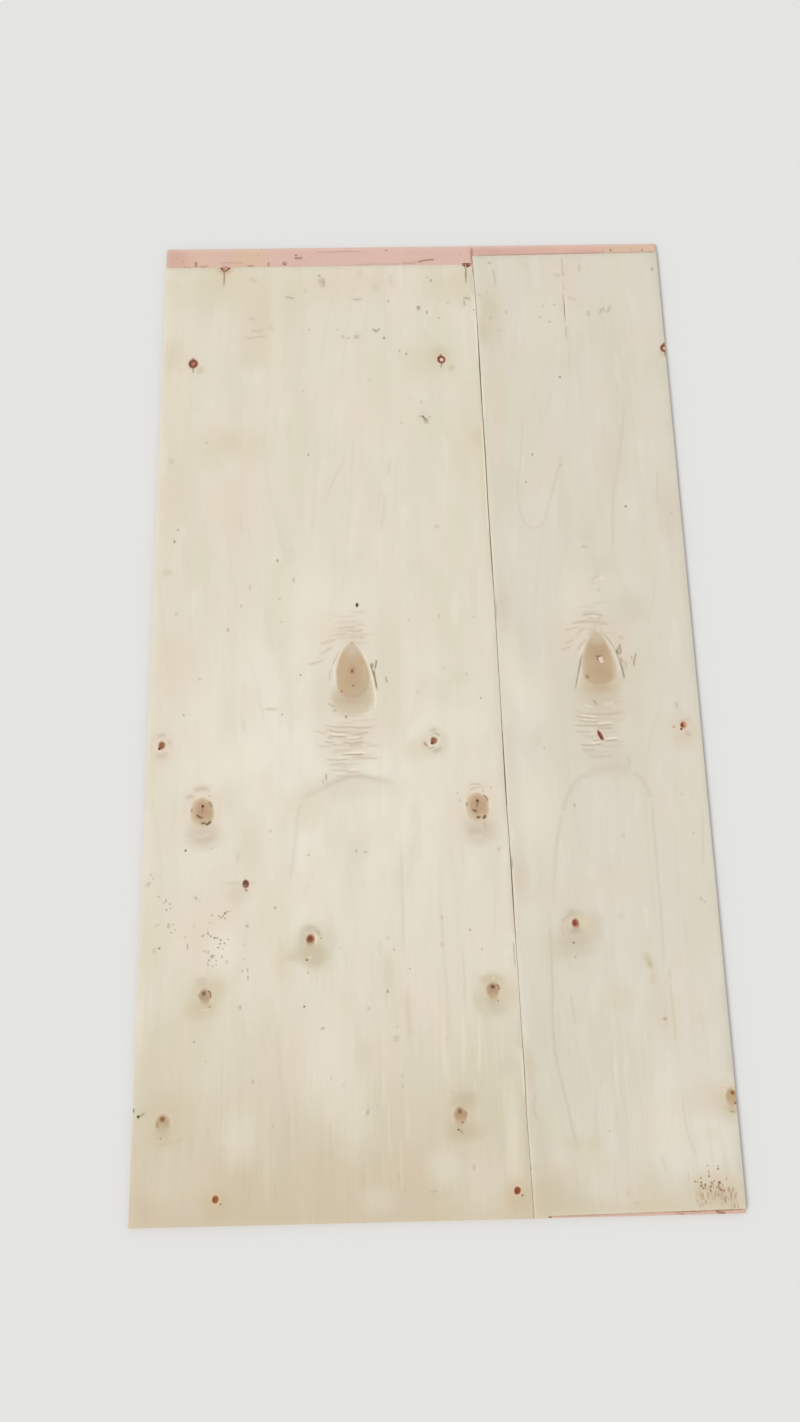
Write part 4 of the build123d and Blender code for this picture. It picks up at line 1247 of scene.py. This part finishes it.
def make_ply(name, face, edge, foot, marks=(), knots=(), rough=1.0):
    """Fine mesh that stands for a ply, with its face, edge and foot materials.

    The marks shape the face, the rim is worn, and the walls are three rows of faces.
    """
    box_low, box_high = (np.array(corner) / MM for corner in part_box(name))
    bottom, top = box_low[2], box_high[2]
    outlines = [resampled(loop, edge_step) for loop in face_loops(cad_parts[name], top)]
    fray = [fray_depth(loop, rough) for loop in outlines]
    rims = [loop + inward(loop) * depth[:, None] for loop, depth in zip(outlines, fray)]
    shoulders = [rim + inward(loop) * arris_width for rim, loop in zip(rims, outlines)]
    rim, shoulder = np.vstack(rims), np.vstack(shoulders)
    points = shoulder
    if marks:
        points = np.vstack([shoulder, inner_points(np.vstack([rim, shoulder]), marks, box_low[:2], box_high[:2])])
    places, faces, of_rim = triangulate(rims, points)

    x, y = places.T
    colour, cover, depth = laid_marks(marks, x, y)
    drop = np.maximum(depth + plain_depth(x, y), 0.0)
    drop[of_rim] += arris_drop
    vertices = [np.column_stack([x, y, top - drop])]
    polygons = [tuple(corners) for corners in faces.tolist()]
    kinds = [0] * len(polygons)
    count = len(x)

    # Walls: two more rows and the flat foot, each nearer to the solid's own outline
    under, under_faces, of_under = triangulate(outlines, np.zeros((0, 2)))
    ledge = np.vstack(outlines)
    direction = np.vstack([inward(loop) for loop in outlines])
    worn = np.concatenate(fray)
    lx, ly = ledge.T
    rows = [of_rim]
    for share in wall_shares:
        height = bottom + (top - bottom) * share
        waver = 0.5 + 0.5 * wander(lx + ly, np.full(len(lx), 40.0 * height), 4.0)
        back = worn * share + sawn_roughness * rough * waver
        vertices.append(np.column_stack([ledge + direction * back[:, None], np.full(len(ledge), height)]))
        rows.append(np.arange(count, count + len(ledge)))
        count += len(ledge)
    vertices.append(np.column_stack([under, np.full(len(under), bottom)]))
    rows.append(of_under + count)
    polygons += [tuple(corners[::-1]) for corners in (under_faces + count).tolist()]
    kinds += [2] * len(under_faces)
    start = 0
    for loop in outlines:
        numbers = np.arange(start, start + len(loop))
        after = np.roll(numbers, -1)
        for upper, lower in zip(rows, rows[1:]):
            wall = np.column_stack([upper[numbers], lower[numbers], lower[after], upper[after]])
            polygons += [tuple(quad) for quad in wall.tolist()]
            kinds += [1] * len(wall)
        start += len(loop)

    add_piece(name, np.vstack(vertices), polygons, kinds, (face, edge, foot), colour, cover, knots)


def add_piece(name, places, polygons, kinds, materials, colour, cover, knots):
    """The ply's mesh in the scene, in place of its solid."""
    mesh = bpy.data.meshes.new(name + "_wood")
    mesh.from_pydata((places * MM).tolist(), [], polygons)
    for material in materials:
        mesh.materials.append(material)
    mesh.polygons.foreach_set("material_index", kinds)
    mesh.shade_smooth()
    mesh.set_sharp_from_angle(angle=math.radians(sharp_angle))
    add_attributes(mesh, places, colour, cover, knots)
    piece = bpy.data.objects.new(name + "_wood", mesh)
    bpy.context.scene.collection.objects.link(piece)
    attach(piece, "root")
    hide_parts(name)


def add_attributes(mesh, places, colour, cover, knots):
    """What the materials read: the marks' colour and cover, and the place across the bent grain."""
    laid = np.zeros((len(places), 4))
    laid[: len(cover), :3] = colour
    laid[: len(cover), 3] = cover
    mesh.attributes.new("marks", "FLOAT_COLOR", "POINT").data.foreach_set("color", laid.ravel())
    across = bent_grain(places[:, 0], places[:, 1], knots) * MM
    mesh.attributes.new("across", "FLOAT", "POINT").data.foreach_set("value", across)


# Materials


class Shader:
    """A material's node tree, with short calls for the nodes that it uses."""

    def __init__(self, name):
        self.material = bpy.data.materials.new(name)
        self.material.use_nodes = True
        self.tree = self.material.node_tree
        self.tree.nodes.clear()

    def node(self, kind, inputs=None, **settings):
        """A new node. Inputs are by name or number, and a socket given as a value is linked."""
        made = self.tree.nodes.new(kind)
        for name, value in settings.items():
            setattr(made, name, value)
        for key, value in (inputs or {}).items():
            if isinstance(value, bpy.types.NodeSocket):
                self.tree.links.new(value, made.inputs[key])
            else:
                made.inputs[key].default_value = value
        return made

    def math(self, operation, *values, clamp=False):
        inputs = dict(enumerate(values))
        return self.node("ShaderNodeMath", inputs, operation=operation, use_clamp=clamp).outputs[0]

    def mix(self, factor, first, second, blend="MIX"):
        inputs = {0: factor, 6: first, 7: second}
        made = self.node("ShaderNodeMix", inputs, data_type="RGBA", blend_type=blend)
        return made.outputs[2]

    def scale(self, colour, factor):
        return self.node("ShaderNodeVectorMath", {0: colour, "Scale": factor}, operation="SCALE").outputs[0]

    def ramp(self, value, low, high, start=0.0, end=1.0):
        """Value taken smoothly from start at low to end at high."""
        inputs = {0: value, 1: low, 2: high, 3: start, 4: end}
        return self.node("ShaderNodeMapRange", inputs, interpolation_type="SMOOTHSTEP").outputs[0]

    def attribute(self, name, output="Fac"):
        return self.node("ShaderNodeAttribute", attribute_name=name).outputs[output]

    def axes(self, socket):
        return self.node("ShaderNodeSeparateXYZ", {0: socket}).outputs

    def place(self):
        """Place in the sheet's frame, in metres."""
        return self.axes(self.node("ShaderNodeTexCoord").outputs["Object"])

    def grain(self, across, along, wide, long, layer, detail=2.0):
        """Noise in streaks that are wide mm across the grain and long mm along it."""
        vector = {0: self.math("MULTIPLY", across, 1000 / wide), 1: self.math("MULTIPLY", along, 1000 / long), 2: layer}
        inputs = {"Vector": self.node("ShaderNodeCombineXYZ", vector).outputs[0], "Scale": 1.0, "Detail": detail}
        return self.node("ShaderNodeTexNoise", inputs).outputs["Fac"]

    def zone(self, x, y, middle, reach):
        """1 at a middle place, falling smoothly to 0 at its reach across and along, in metres."""
        away = [self.math("DIVIDE", self.math("SUBTRACT", x, middle[0]), reach[0]),
                self.math("DIVIDE", self.math("SUBTRACT", y, middle[1]), reach[1])]
        squares = [self.math("MULTIPLY", part, part) for part in away]
        return self.ramp(self.math("ADD", *squares), 0.0, 1.0, 1.0, 0.0)

    def total(self, base, *terms):
        """Base plus each noise, taken about its middle, times its share."""
        for noise, share in terms:
            base = self.math("ADD", base, self.math("MULTIPLY", self.math("SUBTRACT", noise, 0.5), share))
        return base

    def finish(self, colour, roughness, height, bump, bump_depth=0.0001):
        """The wood's surface shader, with its relief from the height."""
        relief = {"Strength": bump, "Distance": bump_depth, "Height": height}
        inputs = {"Base Color": colour, "Roughness": roughness}
        inputs["Normal"] = self.node("ShaderNodeBump", relief).outputs[0]
        shader = self.node("ShaderNodeBsdfPrincipled", inputs)
        shader.inputs["Specular IOR Level"].default_value = 0.3
        self.node("ShaderNodeOutputMaterial", {"Surface": shader.outputs[0]})
        return self.material


def under_marks(s, wood, variation, ragged):
    """The wood's colour with the mesh's marks laid over it, a faint cover more uneven than a full one."""
    marks = s.node("ShaderNodeAttribute", attribute_name="marks")
    thin = s.math("SUBTRACT", 1.0, marks.outputs["Alpha"])
    evenness = s.total(1.0, (variation, s.math("MULTIPLY_ADD", thin, 0.3, 0.06)),
                       (ragged, s.math("MULTIPLY", thin, 2.2)))
    cover = s.math("MULTIPLY", marks.outputs["Alpha"], evenness, clamp=True)
    bare = s.scale(wood, s.math("SUBTRACT", 1.0, cover))
    return s.node("ShaderNodeVectorMath", {0: bare, 1: s.scale(marks.outputs["Color"], evenness)},
                  operation="ADD").outputs[0]


def shifted(colour, red, green, blue):
    """Linear RGBA of a colour moved a little in each channel."""
    return linear((colour[0] + red, colour[1] + green, colour[2] + blue))


def face_wood(name, tone, front_tone, front_reach, pale_and_lit_zone, layer):
    """Pale rotary cut face: mottled bands, growth lines and fibres along Y, tan and striped at the front."""
    s = Shader(name)
    x, y, _ = s.place()
    drift = s.grain(x, y, 620, 1300, layer, 1.0)
    across = s.total(s.attribute("across"), (drift, 0.05))
    bands = s.grain(across, y, 75, 1100, layer + 1, 3.0)
    streaks = s.grain(across, y, 11, 300, layer + 2, 3.0)
    fibres = s.grain(across, y, 1.9, 60, layer + 3, 3.0)
    hairs = s.grain(across, y, 0.5, 18, layer + 4, 1.0)
    cloud = s.grain(x, y, 190, 260, layer + 5, 3.0)
    flush = s.grain(across, y, 85, 190, layer + 8, 3.0)
    green = s.grain(across, y, 110, 330, layer + 9, 3.0)
    bleach = s.grain(across, y, 34, 120, layer + 10, 3.0)
    stripes = s.grain(across, y, 6.5, 280, layer + 11, 1.0)

    # Growth lines: thin contours of a slow noise
    contour = s.math("MULTIPLY", s.grain(across, y, 260, 2300, layer + 6, 1.0), 16.0)
    lines = s.ramp(s.math("PINGPONG", contour, 0.5), 0.0, 0.09, 1.0, 0.0)
    pores = s.ramp(s.grain(across, y, 0.8, 14, layer + 7, 0.0), 0.70, 0.82)

    front = s.ramp(s.total(y, (cloud, 0.14), (bands, 0.10)), *front_reach, 1.0, 0.0)
    # A lighter zone of the face: on the left veneer a painted pool of light, the bright middle of the sheet, and on the
    # right veneer a paler patch near the front corner
    wood = s.mix(s.zone(x, y, *pale_and_lit_zone), linear(tone), shifted(tone, 6, 8, 10))
    wood = s.mix(front, wood, linear(front_tone))
    for noise, low, high, most, shift, front_shift in (
        (flush, 0.46, 0.66, 0.7, (2, -2, -3), (3, -1, 0)),
        (green, 0.48, 0.66, 0.7, (-7, -5, -9), (-3, -2, -5)),
        (bleach, 0.54, 0.70, 0.6, (5, 5, 6), (5, 6, 8)),
        (bands, 0.40, 0.75, 0.30, (-8, -6, -12), (-6, -6, -9)),
    ):
        share = s.ramp(noise, low, high, 0.0, most)
        wood = s.mix(share, wood, s.mix(front, shifted(tone, *shift), shifted(front_tone, *front_shift)))
    striped = s.math("MULTIPLY", s.ramp(y, -0.75, -0.45, 1.0, 0.0), s.ramp(cloud, 0.44, 0.58, 0.25, 1.0))
    shade = s.total(1.004, (streaks, 0.055), (fibres, 0.05), (hairs, 0.06),
                    (stripes, s.math("MULTIPLY_ADD", striped, 0.12, 0.02)))
    shade = s.math("SUBTRACT", shade, s.math("MULTIPLY", lines, s.ramp(cloud, 0.3, 0.7, 0.01, 0.03)))
    shade = s.math("SUBTRACT", shade, s.math("MULTIPLY", pores, 0.07))
    colour = under_marks(s, s.scale(wood, shade), fibres, s.grain(across, y, 2.3, 6.5, layer + 12, 3.0))
    relief = s.total(0.5, (fibres, 0.6), (hairs, 0.6), (pores, -0.5))
    return s.finish(colour, s.ramp(streaks, 0.3, 0.7, 0.60, 0.72), relief, 0.5)


def cross_wood(name, layer):
    """Pink crossband with its grain along X, rougher than the face."""
    s = Shader(name)
    x, y, _ = s.place()
    bands = s.grain(y, x, 16, 420, layer, 3.0)
    streaks = s.grain(y, x, 4.0, 130, layer + 1, 3.0)
    fibres = s.grain(y, x, 1.0, 26, layer + 2, 2.0)
    cloud = s.grain(x, y, 120, 60, layer + 3, 3.0)
    blotch = s.grain(x, y, 34, 14, layer + 5, 3.0)
    specks = s.ramp(s.grain(x, y, 4.5, 3.0, layer + 4, 1.0), 0.68, 0.80)
    wood = s.mix(s.ramp(cloud, 0.35, 0.68), linear(strip_wood), shifted(strip_wood, 6, 4, 5))
    wood = s.mix(s.ramp(bands, 0.45, 0.75, 0.0, 0.5), wood, shifted(strip_wood, -6, -20, -18))
    wood = s.mix(s.ramp(blotch, 0.52, 0.74, 0.0, 0.55), wood, shifted(strip_wood, -2, 4, -8))
    shade = s.total(1.01, (streaks, 0.16), (fibres, 0.10), (blotch, 0.05))
    shade = s.math("SUBTRACT", shade, s.math("MULTIPLY", specks, 0.16))
    colour = under_marks(s, s.scale(wood, shade), streaks, s.grain(y, x, 1.8, 6.0, layer + 6, 3.0))
    relief = s.total(0.5, (streaks, 0.5), (fibres, 0.7))
    return s.finish(colour, 0.74, relief, 0.7)


def edge_wood(name, light, dark, along, layer, box):
    """Sawn edge of a ply: long fibres where the grain runs along the edge, pricked end grain where it is cut."""
    s = Shader(name)
    x, y, z = s.place()
    normal = s.axes(s.node("ShaderNodeNewGeometry").outputs["True Normal"])
    side = s.math("GREATER_THAN", s.math("ABSOLUTE", normal[0]), 0.7)
    run = s.math("ADD", s.math("MULTIPLY", side, y), s.math("MULTIPLY", s.math("SUBTRACT", 1.0, side), x))
    fibres = s.grain(z, run, 0.28, 34, layer, 3.0)
    ends = s.grain(run, z, 0.7, 0.7, layer + 1, 2.0)
    rings = s.grain(z, run, 0.45, 60, layer + 2, 2.0)
    tone = s.grain(z, run, 3.0, 190, layer + 3, 2.0)
    saw = s.grain(run, z, 0.55, 30, layer + 4, 2.0)
    cut = side if along == "X" else s.math("SUBTRACT", 1.0, side)
    pattern = s.mix(cut, fibres, s.mix(0.55, ends, rings))
    wood = s.mix(s.ramp(pattern, 0.30, 0.70), linear(dark), linear(light))
    shade = s.total(1.0, (tone, 0.16), (saw, 0.12))
    shade = s.math("SUBTRACT", shade, s.math("MULTIPLY", cut, 0.10))

    # Glue line where the ply meets its neighbours
    low, high = box[0][2], box[1][2]
    middle, half = (low + high) / 2, (high - low) / 2
    out = s.math("DIVIDE", s.math("ABSOLUTE", s.math("SUBTRACT", z, middle)), half)
    glued = s.math("MULTIPLY", s.ramp(out, 0.86, 0.97), s.ramp(tone, 0.25, 0.6, 0.35, 0.8))
    colour = s.mix(glued, s.scale(wood, shade), linear(glue))
    relief = s.total(0.5, (pattern, 0.6), (saw, 0.6))
    return s.finish(colour, 0.78, relief, 0.7, 0.00015)


def back_wood(name, layer):
    """Back veneer's face, seen only when the sheet is turned over: plain grain along Y."""
    s = Shader(name)
    x, y, _ = s.place()
    drift = s.grain(x, y, 500, 1500, layer, 1.0)
    across = s.total(x, (drift, 0.06))
    bands = s.grain(across, y, 60, 900, layer + 1, 3.0)
    fibres = s.grain(across, y, 2.2, 60, layer + 2, 3.0)
    hairs = s.grain(across, y, 0.6, 20, layer + 3, 1.0)
    wood = s.mix(s.ramp(bands, 0.35, 0.68), linear((216, 201, 174)), linear((206, 187, 156)))
    colour = s.scale(wood, s.total(1.0, (fibres, 0.10), (hairs, 0.08)))
    return s.finish(colour, 0.7, s.total(0.5, (fibres, 0.6), (hairs, 0.6)), 0.5)


# Stage


def make_stage():
    """Floor, background, lights and camera."""
    half = floor_size / 2
    mesh = bpy.data.meshes.new("floor")
    corners = [(-half, -half), (half, -half), (half, half), (-half, half)]
    mesh.from_pydata([(x, y, -floor_drop) for x, y in corners], [], [(0, 1, 2, 3)])
    floor = bpy.data.objects.new("floor", mesh)
    bpy.context.scene.collection.objects.link(floor)
    s = Shader("floor_paint")
    x, y, _ = s.place()
    s.finish(linear(floor_colour), 0.9, s.grain(x, y, 3, 3, 0.0), 0.1)
    mesh.materials.append(s.material)

    world = bpy.data.worlds.new("studio")
    bpy.context.scene.world = world
    world.use_nodes = True
    tree = world.node_tree
    tree.nodes.clear()
    sky = tree.nodes.new("ShaderNodeBackground")
    sky.inputs["Color"].default_value = (1, 1, 1, 1)
    sky.inputs["Strength"].default_value = dome_strength
    out = tree.nodes.new("ShaderNodeOutputWorld")
    tree.links.new(sky.outputs[0], out.inputs[0])

    lamp = bpy.data.objects.new("lamp", bpy.data.lights.new("lamp", "SUN"))
    lamp.data.energy = lamp_strength
    lamp.data.angle = math.radians(lamp_spread)
    azimuth, height = math.radians(lamp_azimuth), math.radians(lamp_height)
    level = math.cos(height)
    towards = Vector((math.sin(azimuth) * level, -math.cos(azimuth) * level, math.sin(height)))
    lamp.rotation_mode = "QUATERNION"
    lamp.rotation_quaternion = towards.to_track_quat("Z", "Y")
    bpy.context.scene.collection.objects.link(lamp)

    camera = bpy.data.objects.new("camera", bpy.data.cameras.new("camera"))
    camera.location = camera_place
    camera.rotation_euler = Euler([math.radians(turn) for turn in camera_turn])
    camera.data.lens = camera_lens
    camera.data.sensor_width = camera_sensor
    bpy.context.scene.collection.objects.link(camera)
    bpy.context.scene.camera = camera
    bpy.context.scene.view_settings.view_transform = "Standard"


# The sheet

make_stage()


def edge_of(name, light, dark, along, layer):
    """Edge material of a ply, with its grain along X or Y."""
    return edge_wood(name + "_edge", light, dark, along, layer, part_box(name))


# The left face's lighter zone in its middle is painted light
left_face = face_wood("face_left", left_wood, left_front_wood, (-1.13, -0.60), ((-0.24, -0.2), (0.4, 0.5)), 0.0)
left_edge = edge_of("face_veneer_left", (222, 208, 182), (196, 176, 146), "Y", 50.0)
make_ply("face_veneer_left", left_face, left_edge, left_edge, left_marks, left_knots)
right_face = face_wood("face_right", right_wood, right_front_wood, (-1.13, -0.97), ((0.47, -0.94), (0.16, 0.14)), 20.0)
right_edge = edge_of("face_veneer_right", (218, 205, 180), (192, 172, 142), "Y", 60.0)
make_ply("face_veneer_right", right_face, right_edge, right_edge, right_marks, right_knots)
strip_edge = edge_of("crossband_upper", (212, 178, 150), (178, 138, 108), "X", 70.0)
make_ply("crossband_upper", cross_wood("crossband", 40.0), strip_edge, strip_edge, strip_marks)
for level, name in enumerate(("core_veneer_upper", "crossband_middle", "core_veneer_lower", "crossband_lower")):
    core = name.startswith("core")
    light, dark = ((206, 176, 140), (172, 136, 100)) if core else ((200, 168, 134), (164, 128, 96))
    wood = edge_of(name, light, dark, "Y" if core else "X", 80.0 + 10 * level)
    make_ply(name, wood, wood, wood, rough=hidden_share)
back_edge = edge_of("back_veneer", (210, 192, 162), (182, 158, 126), "Y", 140.0)
make_ply("back_veneer", back_edge, back_edge, back_wood("back_face", 130.0), rough=hidden_share)
